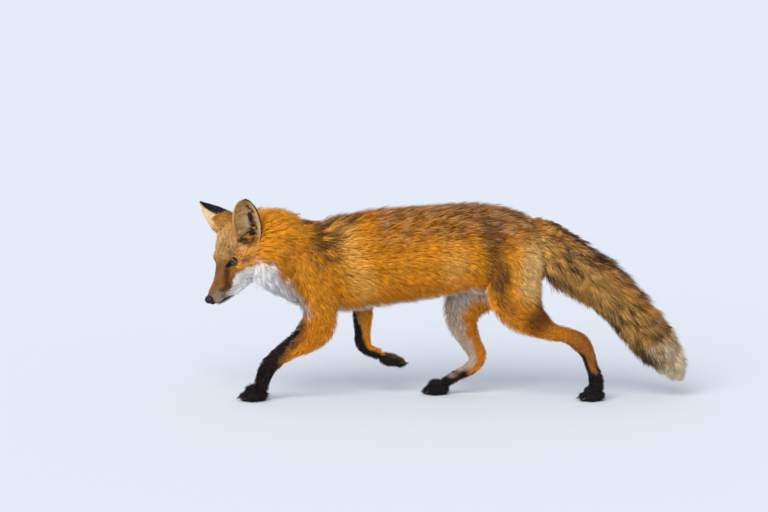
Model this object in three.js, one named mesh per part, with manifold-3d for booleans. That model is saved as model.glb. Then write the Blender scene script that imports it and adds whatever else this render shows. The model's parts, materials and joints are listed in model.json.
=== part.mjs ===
// A red fox (Vulpes vulpes) in winter coat, walking with its head low, at life size.
// Millimetres, +Z up. It faces -X, and its left side is -Y. The origin is on the floor, under the
// middle of its bounding box. Three feet stand on the floor and the right forefoot swings.
// Every form reaches out to the tips of the coat. Each one is a loft, a closed tube of oval
// sections along a spline, and the body is parted into named pieces by thin cuts.
import * as THREE from "three";
import { mergeVertices } from "three/addons/utils/BufferGeometryUtils.js";
import Module from "manifold-3d";

const wasm = await Module();
wasm.setup();

// ---- driving sizes -------------------------------------------------------------------------
const GAP = 0.35; // left between two pieces that touch
const CENTRE = { x: -4.8, y: 0.2 }; // middle of the bounding box in the drawing's own frame

// A row of a loft is [x, y, z, half width, reach up, reach down], and up is to the right of the
// row's path as the left side sees it. The torso runs from the rump to the back of the head.
const TORSO = [
  [196, 0, 297, 34, 42, 46],
  [168, 0, 296, 52, 72, 76],
  [128, 0, 297, 62, 86, 88],
  [82, 0, 300, 65, 94, 91],
  [32, 0, 302, 65, 94, 91],
  [-28, 0, 298, 67, 94, 96],
  [-88, 0, 291, 70, 97, 99],
  [-148, 0, 284, 71, 98, 100],
  [-198, 0, 277, 69, 97, 101],
  [-244, 0, 273, 65, 92, 97],
  [-282, 0, 280, 62, 87, 90],
  [-312, 0, 290, 64, 87, 82],
  [-344, 0, 301, 65, 83, 77],
  [-372, 2, 305, 56, 78, 72],
  [-390, 4, 302, 36, 62, 60],
];
const NECK_CUT = { at: [-292, 0, 280], normal: [-0.94, 0, 0.34] };

const TAIL = [
  [474, 4, 43, 8, 9, 9],
  [464, 4, 62, 20, 22, 22],
  [442, 6, 90, 34, 36, 35],
  [408, 8, 130, 45, 47, 46],
  [364, 10, 176, 52, 53, 53],
  [312, 10, 227, 54, 55, 56],
  [262, 8, 268, 51, 54, 56],
  [212, 4, 304, 47, 50, 56],
  [182, 2, 322, 41, 44, 46],
  [150, 0, 334, 30, 28, 28],
];
const TAIL_CUTS = [
  { at: [272, 8, 261], normal: [0.78, 0, -0.63] },
  { at: [420, 8, 116], normal: [0.7, 0, -0.71] },
];

// Legs, from the top down: the half width is across the body, and the reaches are to the front and
// the back. Each cut ends the piece that it names.
const LEGS = {
  hindleg_left: {
    rows: [
      [152, -26, 322, 20, 40, 36],
      [150, -40, 280, 33, 64, 46],
      [144, -41, 242, 34, 64, 52],
      [142, -41, 208, 31, 58, 54],
      [160, -40, 172, 26, 40, 45],
      [208, -39, 143, 19, 22, 22],
      [244, -38, 133, 16, 18, 18],
      [272, -37, 118, 16, 21, 20],
      [287, -36, 96, 14, 17, 16],
      [295, -36, 70, 13, 14, 15],
      [302, -36, 44, 14, 14, 18],
      [302, -36, 24, 15, 15, 20],
    ],
    cuts: [
      { ends: "thigh", at: [158, 0, 170], normal: [0.72, 0, -0.69] },
      { ends: "shank", at: [268, 0, 121], normal: [0.74, 0, -0.67] },
      { ends: "metatarsus", at: [302, 0, 34], normal: [0.1, 0, -0.99] },
    ],
  },
  hindleg_right: {
    rows: [
      [132, 26, 318, 20, 42, 38],
      [110, 40, 272, 33, 60, 54],
      [76, 41, 232, 33, 58, 58],
      [44, 38, 192, 29, 46, 44],
      [38, 38, 152, 23, 37, 33],
      [52, 37, 112, 17, 24, 24],
      [66, 36, 80, 16, 18, 22],
      [54, 36, 56, 14, 14, 17],
      [24, 36, 38, 13, 13, 14],
      [2, 36, 24, 15, 13, 13],
    ],
    cuts: [
      { ends: "thigh", at: [42, 0, 182], normal: [-0.15, 0, -0.99] },
      { ends: "shank", at: [66, 0, 76], normal: [-0.25, 0, -0.97] },
      { ends: "metatarsus", at: [14, 0, 32], normal: [-0.87, 0, -0.5] },
    ],
  },
  foreleg_left: {
    rows: [
      [-256, -34, 314, 17, 36, 40],
      [-262, -44, 274, 31, 46, 54],
      [-256, -45, 226, 29, 38, 50],
      [-249, -43, 184, 26, 35, 38],
      [-256, -42, 151, 23, 34, 40],
      [-278, -40, 126, 20, 28, 33],
      [-304, -38, 108, 17, 23, 24],
      [-330, -37, 89, 17, 20, 20],
      [-350, -36, 68, 16, 18, 18],
      [-362, -35, 44, 15, 15, 16],
      [-366, -35, 24, 16, 15, 15],
    ],
    cuts: [
      { ends: "upper_arm", at: [-258, 0, 150], normal: [-0.45, 0, -0.89] },
      { ends: "forearm", at: [-340, 0, 80], normal: [-0.66, 0, -0.75] },
    ],
  },
  foreleg_right: {
    rows: [
      [-240, 34, 308, 17, 36, 40],
      [-226, 45, 268, 31, 46, 50],
      [-188, 45, 222, 27, 36, 44],
      [-166, 42, 184, 20, 24, 26],
      [-163, 42, 154, 17, 22, 21],
      [-163, 41, 126, 15, 18, 18],
      [-163, 41, 106, 15, 17, 18],
      [-152, 40, 91, 14, 14, 14],
      [-132, 40, 82, 15, 13, 14],
    ],
    cuts: [
      { ends: "upper_arm", at: [-168, 0, 178], normal: [0.2, 0, -0.98] },
      { ends: "forearm", at: [-162, 0, 104], normal: [0.3, 0, -0.95] },
    ],
  },
};

// Feet: the ball of the foot, the way its toes point, the way its sole faces, and whether the leg
// comes down on it, so that an arch joins them (1), or not (0).
const FEET = {
  hindleg_left: { ball: [304, -36, 9], toes: [-1, -0.1, 0], sole: [0, 0, -1], size: 0.94, arch: 1 },
  hindleg_right: { ball: [-6, 36, 9], toes: [-1, 0.12, 0], sole: [0, 0, -1], size: 0.94, arch: 1 },
  foreleg_left: { ball: [-372, -35, 9.5], toes: [-1, -0.1, 0], sole: [0, 0, -1], size: 1, arch: 1 },
  foreleg_right: { ball: [-112, 40, 74], toes: [0.93, 0.05, -0.36], sole: [0.36, 0, 0.93], size: 1, arch: 0 },
};
const PAW = {
  pad: { length: 21, width: 20, height: 13 },
  arch: { length: 19, width: 13, height: 15, forward: 9, up: 10 },
  toe: { length: 14, width: 8.2, height: 10, droop: 2.5 },
  toes: [
    { forward: 12, aside: -15 },
    { forward: 23, aside: -5.6 },
    { forward: 23, aside: 5.6 },
    { forward: 12, aside: 15 },
  ],
  claw: { length: 11, radius: 2.2, forward: 11 },
};

// The head's own frame: F runs forward to the nose, L to the left and U up, from between the eyes.
const HEAD = { at: [-435, -20, 282], yaw: 36, pitch: 44, roll: 0 };
const SKULL = [
  // [F, L, U, half width, reach up, reach down]
  [84, 0, -32, 8, 9, 12],
  [77, 0, -32, 12.5, 13, 19],
  [64, 0, -31, 15.5, 17, 26],
  [46, 0, -30, 17.5, 21, 34],
  [29, 0, -27, 21, 25, 41],
  [12, 0, -22, 26, 31, 48],
  [-2, 0, -19, 37, 42, 56],
  [-16, 0, -18, 49, 53, 64],
  [-32, 0, -18, 60, 60, 68],
  [-50, 0, -18, 67, 61, 68],
  [-70, 0, -18, 60, 51, 60],
  [-86, 0, -16, 44, 38, 42],
];
const MUZZLE_CUT = { forward: 16 };
const MOUTH_CUT = { forward: 74, up: -43, slope: -0.17 };
const NOSE = { forward: 82, up: -26, length: 9.5, width: 10, height: 8.5 };
const EYE = { forward: -1, aside: 26, up: 0.5, radius: 9 };

// An ear runs from its base to its tip, and opens towards a direction. The less its taper, the
// blunter it looks.
const EAR = { width: 31, cup: 25, wall: 3 };
const EARS = {
  ear_left: {
    base: [-390, -33, 320],
    tip: [-396, -64, 410],
    opens: [-0.25, -0.92, -0.3],
    blunt: 4.5,
    taper: 0.4,
  },
  ear_right: {
    base: [-425, 24, 337],
    tip: [-491, 44, 391],
    opens: [-0.4, 0.88, -0.25],
    blunt: 1.8,
    taper: 0.8,
  },
};

const COATS = {
  orange: { color: 0xc47a2c, roughness: 0.85 },
  white: { color: 0xe8e2dc, roughness: 0.85 },
  brown: { color: 0x6b4426, roughness: 0.85 },
  black: { color: 0x1d1a19, roughness: 0.85 },
  cream: { color: 0xcbb38c, roughness: 0.85 },
  nose: { color: 0x0d0d0e, roughness: 0.45 },
  eye: { color: 0x3a220c, roughness: 0.12 },
};

// ---- shapes ----------------------------------------------------------------------------------
// A spline through rows of numbers, the same on every column. t runs from 0 to the last row.
function between(rows, t) {
  const i = Math.min(Math.floor(t), rows.length - 2);
  const f = t - i;
  const row = (k) => rows[Math.min(Math.max(k, 0), rows.length - 1)];
  return row(i).map((b, c) => {
    const [a, d, e] = [row(i - 1)[c], row(i + 1)[c], row(i + 2)[c]];
    return b + 0.5 * f * (d - a + f * (2 * a - 5 * b + 4 * d - e + f * (3 * (b - d) + e - a)));
  });
}

// A closed tube of oval sections through the rows, square to the spline, widened by grow.
// Its ends are domes, so that it has no flat face.
function loft(rows, { rings, sides, grow = 0, across = [0, 1, 0], flatness = 2.15, dome = 0.5 }) {
  const domeRings = 2;
  const points = [];
  const last = rows.length - 1;
  const sideways = new THREE.Vector3(...across);
  const stops = [];
  for (let k = domeRings; k >= 1; k--) stops.push([0, -k / domeRings]);
  for (let k = 0; k <= rings; k++) stops.push([(k * last) / rings, 0]);
  for (let k = 1; k <= domeRings; k++) stops.push([last, k / domeRings]);
  for (const [t, end] of stops) {
    const [x, y, z, half, up, down] = between(rows, t);
    const ahead = between(rows, Math.min(t + 0.05, last));
    const behind = between(rows, Math.max(t - 0.05, 0));
    const along = new THREE.Vector3(...ahead.slice(0, 3));
    along.sub(new THREE.Vector3(...behind.slice(0, 3))).normalize();
    const side = sideways.clone().addScaledVector(along, -sideways.dot(along)).normalize();
    const top = new THREE.Vector3().crossVectors(side, along).normalize();
    const angle = (Math.abs(end) * Math.PI) / 2;
    const shrink = Math.abs(end) === 1 ? 0.12 : Math.cos(angle);
    const push = Math.sign(end) * Math.sin(angle) * dome * Math.min(half, up, down);
    const centre = new THREE.Vector3(x, y, z).addScaledVector(along, push);
    for (let k = 0; k < sides; k++) {
      const a = (2 * Math.PI * k) / sides;
      const c = Math.sign(Math.cos(a)) * Math.abs(Math.cos(a)) ** (2 / flatness);
      const s = Math.sign(Math.sin(a)) * Math.abs(Math.sin(a)) ** (2 / flatness);
      const reach = s > 0 ? up + grow : down + grow;
      const point = centre.clone().addScaledVector(side, c * (half + grow) * shrink);
      points.push(point.addScaledVector(top, s * reach * shrink));
    }
  }
  return tube(points, stops.length, sides);
}

// The closed skin of rings of points, each ring with the same number of sides.
function tube(points, rings, sides) {
  const first = points.length;
  const middle = (ring) => {
    const sum = new THREE.Vector3();
    for (let k = 0; k < sides; k++) sum.add(points[ring * sides + k]);
    return sum.divideScalar(sides);
  };
  const all = [...points, middle(0), middle(rings - 1)];
  const faces = [];
  for (let r = 0; r < rings - 1; r++)
    for (let k = 0; k < sides; k++) {
      const [a, b] = [r * sides + k, r * sides + ((k + 1) % sides)];
      faces.push(a, b, b + sides, a, b + sides, a + sides);
    }
  for (let k = 0; k < sides; k++) {
    faces.push(first, (k + 1) % sides, k);
    faces.push(first + 1, (rings - 1) * sides + k, (rings - 1) * sides + ((k + 1) % sides));
  }
  return solid(new THREE.BufferGeometry().setFromPoints(all).setIndex(faces));
}

// A closed three.js geometry as a solid that can be joined and cut.
function solid(geometry) {
  const bare = geometry.clone();
  bare.deleteAttribute("normal");
  bare.deleteAttribute("uv");
  const merged = mergeVertices(bare, 1e-4);
  const mesh = new wasm.Mesh({
    numProp: 3,
    vertProperties: new Float32Array(merged.attributes.position.array),
    triVerts: new Uint32Array(merged.index.array),
  });
  const made = new wasm.Manifold(mesh);
  if (made.volume() > 0) return made;
  mesh.triVerts = mesh.triVerts.map((_, i, t) => t[i - (i % 3) + [0, 2, 1][i % 3]]);
  return new wasm.Manifold(mesh);
}

function ellipsoid(length, width, height, across = 12, down = 8) {
  return new THREE.SphereGeometry(1, across, down).rotateX(Math.PI / 2).scale(length, width, height);
}

// Keeps the side of a plane that its normal points to, or the other side.
function beyond(shape, { at, normal }, side = 1) {
  const n = new THREE.Vector3(...normal).normalize();
  const offset = n.dot(new THREE.Vector3(...at));
  return shape.trimByPlane(n.multiplyScalar(side).toArray(), side * offset + GAP / 2);
}

// The largest body of a cut shape.
function whole(shape) {
  return shape.decompose().reduce((a, b) => (b.volume() > a.volume() ? b : a));
}

function frame(at, forward, left, up) {
  return new THREE.Matrix4().makeBasis(forward, left, up).setPosition(...at);
}

// ---- head ------------------------------------------------------------------------------------
function headFrame() {
  const [yaw, pitch, roll] = [HEAD.yaw, HEAD.pitch, HEAD.roll].map(THREE.MathUtils.degToRad);
  const turn = new THREE.Matrix4()
    .makeRotationZ(Math.PI + yaw)
    .multiply(new THREE.Matrix4().makeRotationY(pitch))
    .multiply(new THREE.Matrix4().makeRotationX(roll));
  return turn.setPosition(...HEAD.at);
}

// The head's own loft, turned and moved to where the head is.
function skull(grow = 0) {
  const shape = loft(SKULL, { rings: 12, sides: 18, grow, dome: 0.35, flatness: 2.2 });
  return shape.transform(headFrame().elements);
}

function inHead(geometry) {
  return solid(geometry.applyMatrix4(headFrame()));
}

function eye(side, grow = 0) {
  const r = EYE.radius + grow;
  return inHead(ellipsoid(r, r, r, 12, 8).translate(EYE.forward, side * EYE.aside, EYE.up));
}

function nose(grow = 0) {
  const shape = ellipsoid(NOSE.length + grow, NOSE.width + grow, NOSE.height + grow, 12, 8);
  return inHead(shape.translate(NOSE.forward, 0, NOSE.up));
}

// An ear is a leaf rolled round its axis: a wall whose back bulges and whose front is hollow.
function ear({ base, tip, opens, blunt, taper }) {
  const rows = 7;
  const columns = 7;
  const up = new THREE.Vector3(...tip).sub(new THREE.Vector3(...base));
  const height = up.length();
  up.normalize();
  const out = new THREE.Vector3(...opens);
  out.addScaledVector(up, -out.dot(up)).normalize();
  const aside = new THREE.Vector3().crossVectors(up, out);
  const points = [];
  for (let r = 0; r <= rows; r++) {
    const u = r / rows;
    const half = EAR.width * Math.max((1 - u ** blunt) ** taper * (0.8 + 0.8 * u * (1 - u)), 0.06);
    const cup = EAR.cup * (1 - 0.8 * u) * (0.75 + 0.5 * u);
    const roll = THREE.MathUtils.degToRad(100 - 55 * u);
    const shell = (share, inwards) => {
      const a = share * roll;
      const x = (half - inwards) * (Math.sin(a) / Math.sin(Math.min(roll, Math.PI / 2)));
      const depth = -(cup - inwards) * ((Math.cos(a) - Math.cos(roll)) / (1 - Math.cos(roll)));
      return new THREE.Vector3(...base)
        .addScaledVector(up, u * height)
        .addScaledVector(aside, x)
        .addScaledVector(out, depth);
    };
    const wall = Math.min(EAR.wall, half * 0.7);
    for (let k = 0; k <= columns; k++) points.push(shell(-1 + (2 * k) / columns, 0));
    for (let k = columns; k >= 0; k--) points.push(shell(-1 + (2 * k) / columns, wall));
  }
  const ring = 2 * (columns + 1);
  return tube(points, rows + 1, ring);
}

// ---- legs and feet ---------------------------------------------------------------------------
function leg(rows, grow = 0) {
  return loft(rows, { rings: 13, sides: 12, grow, dome: 0.4 });
}

// A foot: its pad, four toes and their claws, joined, with a flat sole where it stands.
function foot({ ball, toes, sole, size, arch }) {
  const forward = new THREE.Vector3(...toes).normalize();
  const up = new THREE.Vector3(...sole).negate();
  up.addScaledVector(forward, -up.dot(forward)).normalize();
  const left = new THREE.Vector3().crossVectors(up, forward);
  const place = frame(ball, forward.multiplyScalar(size), left.multiplyScalar(size), up.multiplyScalar(size));
  let made = solid(ellipsoid(PAW.pad.length, PAW.pad.width, PAW.pad.height, 8, 6));
  if (arch) {
    const { length, width, height, forward: ahead, up: above } = PAW.arch;
    made = made.add(solid(ellipsoid(length, width, height, 8, 6).translate(ahead, 0, above)));
  }
  for (const toe of PAW.toes) {
    const { length, width, height, droop } = PAW.toe;
    made = made.add(solid(ellipsoid(length, width, height, 6, 4).translate(toe.forward, toe.aside, -droop)));
    const claw = new THREE.ConeGeometry(PAW.claw.radius, PAW.claw.length, 3);
    claw.rotateZ(-Math.PI / 2).rotateY(0.35);
    claw.translate(toe.forward + PAW.claw.forward + PAW.claw.length / 4, toe.aside, -droop - 1);
    made = made.add(solid(claw));
  }
  return made.transform(place.elements);
}

// ---- the animal ------------------------------------------------------------------------------
const fox = new THREE.Group();
fox.position.set(-CENTRE.x, -CENTRE.y, 0);

function place(name, shape, coat) {
  const mesh = whole(shape).getMesh();
  const geometry = new THREE.BufferGeometry();
  geometry.setAttribute("position", new THREE.BufferAttribute(new Float32Array(mesh.vertProperties), 3));
  geometry.setIndex(new THREE.BufferAttribute(new Uint32Array(mesh.triVerts), 1));
  geometry.computeVertexNormals();
  const made = new THREE.Mesh(geometry, new THREE.MeshStandardMaterial({ ...COATS[coat], metalness: 0 }));
  made.name = name;
  fox.add(made);
}

const torso = (grow = 0) => loft(TORSO, { rings: 16, sides: 18, grow });
const tail = (grow = 0) => loft(TAIL, { rings: 10, sides: 14, grow });

function addHead() {
  const bare = skull().subtract(eye(1, GAP)).subtract(eye(-1, GAP)).subtract(nose(GAP));
  const turned = headFrame();
  const forward = new THREE.Vector3(1, 0, 0).transformDirection(turned);
  const muzzleCut = {
    at: new THREE.Vector3(MUZZLE_CUT.forward, 0, 0).applyMatrix4(turned).toArray(),
    normal: forward.toArray(),
  };
  const mouthCut = {
    at: new THREE.Vector3(MOUTH_CUT.forward, 0, MOUTH_CUT.up).applyMatrix4(turned).toArray(),
    normal: new THREE.Vector3(MOUTH_CUT.slope, 0, 1).normalize().transformDirection(turned).toArray(),
  };
  place("head", beyond(bare, muzzleCut, -1), "orange");
  const front = beyond(bare, muzzleCut);
  place("muzzle", beyond(front, mouthCut), "brown");
  place("lower_jaw", beyond(front, mouthCut, -1), "white");
  place("nose", nose(), "nose");
  place("eye_left", eye(1), "eye");
  place("eye_right", eye(-1), "eye");
  for (const [name, at] of Object.entries(EARS))
    place(name, ear(at).subtract(skull(GAP)).subtract(torso(GAP)), "black");
}

function addTorso() {
  let bare = torso().subtract(skull(GAP));
  for (const { rows } of Object.values(LEGS)) bare = bare.subtract(leg(rows, GAP));
  place("neck", beyond(bare, NECK_CUT), "orange");
  place("trunk", beyond(bare, NECK_CUT, -1), "orange");
}

function addTail() {
  const bare = tail().subtract(torso(GAP));
  place("tail_base", beyond(bare, TAIL_CUTS[0], -1), "orange");
  place("tail_brush", beyond(beyond(bare, TAIL_CUTS[0]), TAIL_CUTS[1], -1), "orange");
  place("tail_tip", beyond(bare, TAIL_CUTS[1]), "cream");
}

// A leg is parted from the top down; what is left at the end is the foot.
function addLeg(name, { rows, cuts }) {
  const floor = { at: [0, 0, -GAP / 2], normal: [0, 0, 1] };
  let rest = beyond(leg(rows).add(foot(FEET[name])), floor).subtract(tail(GAP));
  for (const cut of cuts) {
    place(name + "_" + cut.ends, beyond(rest, cut, -1), "orange");
    rest = beyond(rest, cut);
  }
  place(name + "_paw", rest, "black");
}

addTorso();
addHead();
addTail();
for (const [name, parts] of Object.entries(LEGS)) addLeg(name, parts);

export default fox;
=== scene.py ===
"""Dresses a red fox in winter coat, walking with its head low, at life size.

Shapes are worked out in millimetres in the drawing's own frame: the fox faces -X, its left side
is -Y and the floor is z = 0. They are moved to the model's frame, in metres, as they become meshes.
The skin lies inside the solids by the depth of the coat, and the coat's tufts reach back out.
"""

from __future__ import annotations

import json
import logging
import math
from dataclasses import dataclass, field
from enum import Enum, IntEnum

import bpy
import numpy as np
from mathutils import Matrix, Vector

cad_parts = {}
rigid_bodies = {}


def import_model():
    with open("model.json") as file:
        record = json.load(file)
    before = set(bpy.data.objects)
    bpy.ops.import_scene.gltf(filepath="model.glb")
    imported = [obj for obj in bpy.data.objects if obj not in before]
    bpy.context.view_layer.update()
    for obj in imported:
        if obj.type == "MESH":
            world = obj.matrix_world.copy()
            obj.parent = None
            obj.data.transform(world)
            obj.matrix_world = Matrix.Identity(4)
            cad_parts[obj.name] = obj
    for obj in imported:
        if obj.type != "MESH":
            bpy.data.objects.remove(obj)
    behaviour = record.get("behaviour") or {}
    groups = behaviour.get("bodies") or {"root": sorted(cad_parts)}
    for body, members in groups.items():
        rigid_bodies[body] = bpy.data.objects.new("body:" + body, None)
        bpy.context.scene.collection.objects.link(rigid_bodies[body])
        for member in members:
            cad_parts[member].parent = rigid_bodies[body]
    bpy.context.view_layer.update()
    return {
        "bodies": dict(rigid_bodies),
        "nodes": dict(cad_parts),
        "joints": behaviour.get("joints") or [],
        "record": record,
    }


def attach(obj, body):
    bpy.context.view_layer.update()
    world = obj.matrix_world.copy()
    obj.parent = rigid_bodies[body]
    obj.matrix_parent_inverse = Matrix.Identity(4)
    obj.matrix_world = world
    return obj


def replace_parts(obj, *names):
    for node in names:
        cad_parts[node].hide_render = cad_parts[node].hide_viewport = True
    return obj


LOG = logging.getLogger("red_fox")

Array = np.ndarray
Rows = tuple[tuple[float, ...], ...]
Pair = tuple[float, float]
Triple = tuple[float, float, float]

SEED = 20
CENTRE = np.array([-4.8, 0.2, 0.0])  # the drawing's point, in mm, that is the model's origin
UNIT = 0.001  # metres in a millimetre
PATCH = 0.003  # side of a tuft's patch on the bake map
CLEAR = 0.9  # mm that hair keeps above the floor
SIDE_REACH = 87.0  # mm that hair reaches to either side of the middle plane
CELL_PRIMES = (73856093, 19349663, 83492791)  # give each cell of a grid a key of its own


# ---- numbers ---------------------------------------------------------------------------------
def unit(v: Array) -> Array:
    """Vectors scaled to length 1."""
    return v / np.maximum(np.linalg.norm(v, axis=-1, keepdims=True), 1e-9)


def dot(a: Array, b: Array) -> Array:
    """Row by row dot product."""
    return np.sum(a * b, axis=-1)


def smooth(low: float, high: float, x: Array) -> Array:
    """0 below low, 1 above high, and a smooth step between; low may be the larger."""
    t = np.clip((x - low) / (high - low), 0.0, 1.0)
    return t * t * (3.0 - 2.0 * t)


def bump(x: Array, centre: float, reach: float) -> Array:
    """A bell that is 1 at the centre and 0 from the reach on."""
    return smooth(reach, 0.0, np.abs(x - centre))


def mix(a: Array, b: Array, share: Array) -> Array:
    """Goes from a to b as share goes from 0 to 1, row by row."""
    return a + (b - a) * share[:, None]


def waves(points: Array, size: float, seed: int) -> Array:
    """A soft random field from about -1 to 1: a sum of sines that run in random directions.

    Args:
        points: places in mm.
        size: typical width of a patch, in mm.
        seed: which field.

    Returns:
        One value for each point.
    """
    rng = np.random.default_rng(seed)
    ways = unit(rng.normal(size=(9, 3))) * rng.uniform(0.7, 1.5, (9, 1)) * math.pi / size
    return np.sin(points @ ways.T + rng.uniform(0, 2 * math.pi, 9)).sum(axis=1) / 3.5


def between(rows: Array, t: Array) -> Array:
    """A Catmull-Rom spline through rows of numbers; t runs from 0 to the last row.

    Args:
        rows: the rows.
        t: places along them.

    Returns:
        One row for each place.
    """
    last = len(rows) - 1
    i = np.clip(np.floor(t).astype(int), 0, last - 1)
    f = (t - i)[:, None]
    a, b, d, e = (rows[np.clip(i + k, 0, last)] for k in (-1, 0, 1, 2))
    return b + 0.5 * f * (d - a + f * (2 * a - 5 * b + 4 * d - e + f * (3 * (b - d) + e - a)))


def tone(red: int, green: int, blue: int) -> Array:
    """A display colour, 0 to 255, as linear red, green and blue."""
    c = np.array([red, green, blue]) / 255.0
    return np.where(c <= 0.04045, c / 12.92, ((c + 0.055) / 1.055) ** 2.4)


# ---- meshes ----------------------------------------------------------------------------------
@dataclass
class Shell:
    """A surface in mm: its points and its faces, which all have the same number of corners."""

    points: Array
    faces: Array

    def moved(self, frame: Array, at: Array) -> Shell:
        """The shell from a local frame, whose axes are the frame's rows, to the drawing's."""
        return Shell(self.points @ frame + at, self.faces)

    def triangles(self) -> Array:
        """The faces as triangles: a quad a, b, c, d becomes a, b, c and a, c, d.

        Returns:
            Three point numbers for each triangle.
        """
        if self.faces.shape[1] == 3:
            return self.faces
        return np.concatenate([self.faces[:, [0, 1, 2]], self.faces[:, [0, 2, 3]]])


def joined(shells: list[Shell]) -> Shell:
    """Several shells as one of triangles.

    Args:
        shells: the surfaces.

    Returns:
        One surface.
    """
    starts = np.cumsum([0] + [len(s.points) for s in shells])
    faces = [s.triangles() + start for s, start in zip(shells, starts)]
    return Shell(np.concatenate([s.points for s in shells]), np.concatenate(faces))


def closed_grid(rings: Array) -> Shell:
    """A tube through rings of points, closed by a fan at each end.

    The rings are an array of ring, side and coordinate. Side k of ring r joins side k + 1 of both
    ring r and ring r + 1, and each end's fan meets at the mean of its ring.

    Args:
        rings: the rings.

    Returns:
        The closed surface.
    """
    count, sides, _ = rings.shape
    points = np.concatenate([rings.reshape(-1, 3), [rings[0].mean(axis=0)], [rings[-1].mean(axis=0)]])
    r, k = np.meshgrid(np.arange(count - 1), np.arange(sides), indexing="ij")
    a = (r * sides + k).ravel()
    b = (r * sides + (k + 1) % sides).ravel()
    walls = np.concatenate([np.stack([a, b, b + sides], 1), np.stack([a, b + sides, a + sides], 1)])
    k = np.arange(sides)
    after = (k + 1) % sides
    end = (count - 1) * sides
    low = np.stack([np.full(sides, count * sides), after, k], 1)
    high = np.stack([np.full(sides, count * sides + 1), end + k, end + after], 1)
    shell = Shell(points, np.concatenate([walls, low, high]))
    return outward(shell)


def outward(shell: Shell) -> Shell:
    """The shell with its faces turned so that its volume, the sum of a . (b x c) / 6, is positive.

    Args:
        shell: a closed surface.

    Returns:
        The same surface, facing out.
    """
    a, b, c = (shell.points[shell.triangles()[:, i]] for i in range(3))
    if dot(a, np.cross(b, c)).sum() < 0:
        return Shell(shell.points, shell.faces[:, ::-1])
    return shell


def ellipsoid(reach: Triple, rings: int = 24, sides: int = 32) -> Shell:
    """An ellipsoid about its centre: longitude and latitude circles scaled to its three reaches.

    Args:
        reach: half its size along each axis.
        rings: bands of latitude.
        sides: points round each.

    Returns:
        Its surface.
    """
    down = np.linspace(0, math.pi, rings + 1)[1:-1, None]
    round_ = np.linspace(0, 2 * math.pi, sides, endpoint=False)[None, :]
    x, y = np.sin(down) * np.cos(round_), np.sin(down) * np.sin(round_)
    z = np.cos(down) * np.ones_like(round_)
    return closed_grid(np.stack([x, y, z], -1) * np.array(reach))


def make_object(name: str, shell: Shell, material: bpy.types.Material) -> bpy.types.Object:
    """A shell as a smooth object of the model, riding on its only body.

    Args:
        name: the piece's name.
        shell: its surface, in mm in the drawing's frame.
        material: its finish.

    Returns:
        The object, at the origin.
    """
    mesh = bpy.data.meshes.new(name)
    points = (shell.points - CENTRE) * UNIT
    count, corners = shell.faces.shape
    mesh.vertices.add(len(points))
    mesh.vertices.foreach_set("co", points.astype(np.float32).ravel())
    mesh.loops.add(count * corners)
    mesh.polygons.add(count)
    mesh.polygons.foreach_set("loop_start", np.arange(count, dtype=np.int32) * corners)
    mesh.polygons.foreach_set("vertices", shell.faces.astype(np.int32).ravel())
    mesh.update(calc_edges=True)
    mesh.shade_smooth()
    mesh.materials.append(material)
    made = bpy.data.objects.new(name, mesh)
    bpy.context.scene.collection.objects.link(made)
    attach(made, "root")
    LOG.info("%s: %d faces", name, count)
    return made


def add_colours(made: bpy.types.Object, name: str, colours: Array) -> None:
    """Keeps one linear colour for each point of a piece, as an attribute.

    Args:
        made: the piece.
        name: the attribute's name.
        colours: the colours.
    """
    layer = made.data.attributes.new(name, "FLOAT_COLOR", "POINT")
    full = np.concatenate([colours, np.ones((len(colours), 1))], axis=1)
    layer.data.foreach_set("color", full.astype(np.float32).ravel())


def add_vectors(made: bpy.types.Object, name: str, vectors: Array) -> None:
    """Keeps one vector for each point of a piece, as an attribute."""
    layer = made.data.attributes.new(name, "FLOAT_VECTOR", "POINT")
    layer.data.foreach_set("vector", vectors.astype(np.float32).ravel())


def add_map(made: bpy.types.Object, places: Array) -> None:
    """Gives a piece its bake map: one place on it for each of its points.

    Args:
        made: the piece.
        places: where each point is on the map.
    """
    layer = made.data.uv_layers.new(name="OFBake")
    corners = np.zeros(len(made.data.loops), dtype=np.int32)
    made.data.loops.foreach_get("vertex_index", corners)
    layer.data.foreach_set("uv", places[corners].astype(np.float32).ravel())


# ---- shader nodes ----------------------------------------------------------------------------
class Wire:
    """An output of a shader tree, with arithmetic that adds Math nodes."""

    def __init__(self, paint: Paint, socket: bpy.types.NodeSocket) -> None:
        """Wraps a socket of the paint's tree."""
        self.paint = paint
        self.socket = socket

    def _with(self, operation: str, a: Wire | float, b: Wire | float) -> Wire:
        """A Math node on two values."""
        return self.paint.node("ShaderNodeMath", {"operation": operation}, {0: a, 1: b})

    def __add__(self, other: Wire | float) -> Wire:
        """self + other."""
        return self._with("ADD", self, other)

    __radd__ = __add__

    def __sub__(self, other: Wire | float) -> Wire:
        """self - other."""
        return self._with("SUBTRACT", self, other)

    def __rsub__(self, other: Wire | float) -> Wire:
        """other - self."""
        return self._with("SUBTRACT", other, self)

    def __mul__(self, other: Wire | float) -> Wire:
        """self x other."""
        return self._with("MULTIPLY", self, other)

    __rmul__ = __mul__


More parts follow.
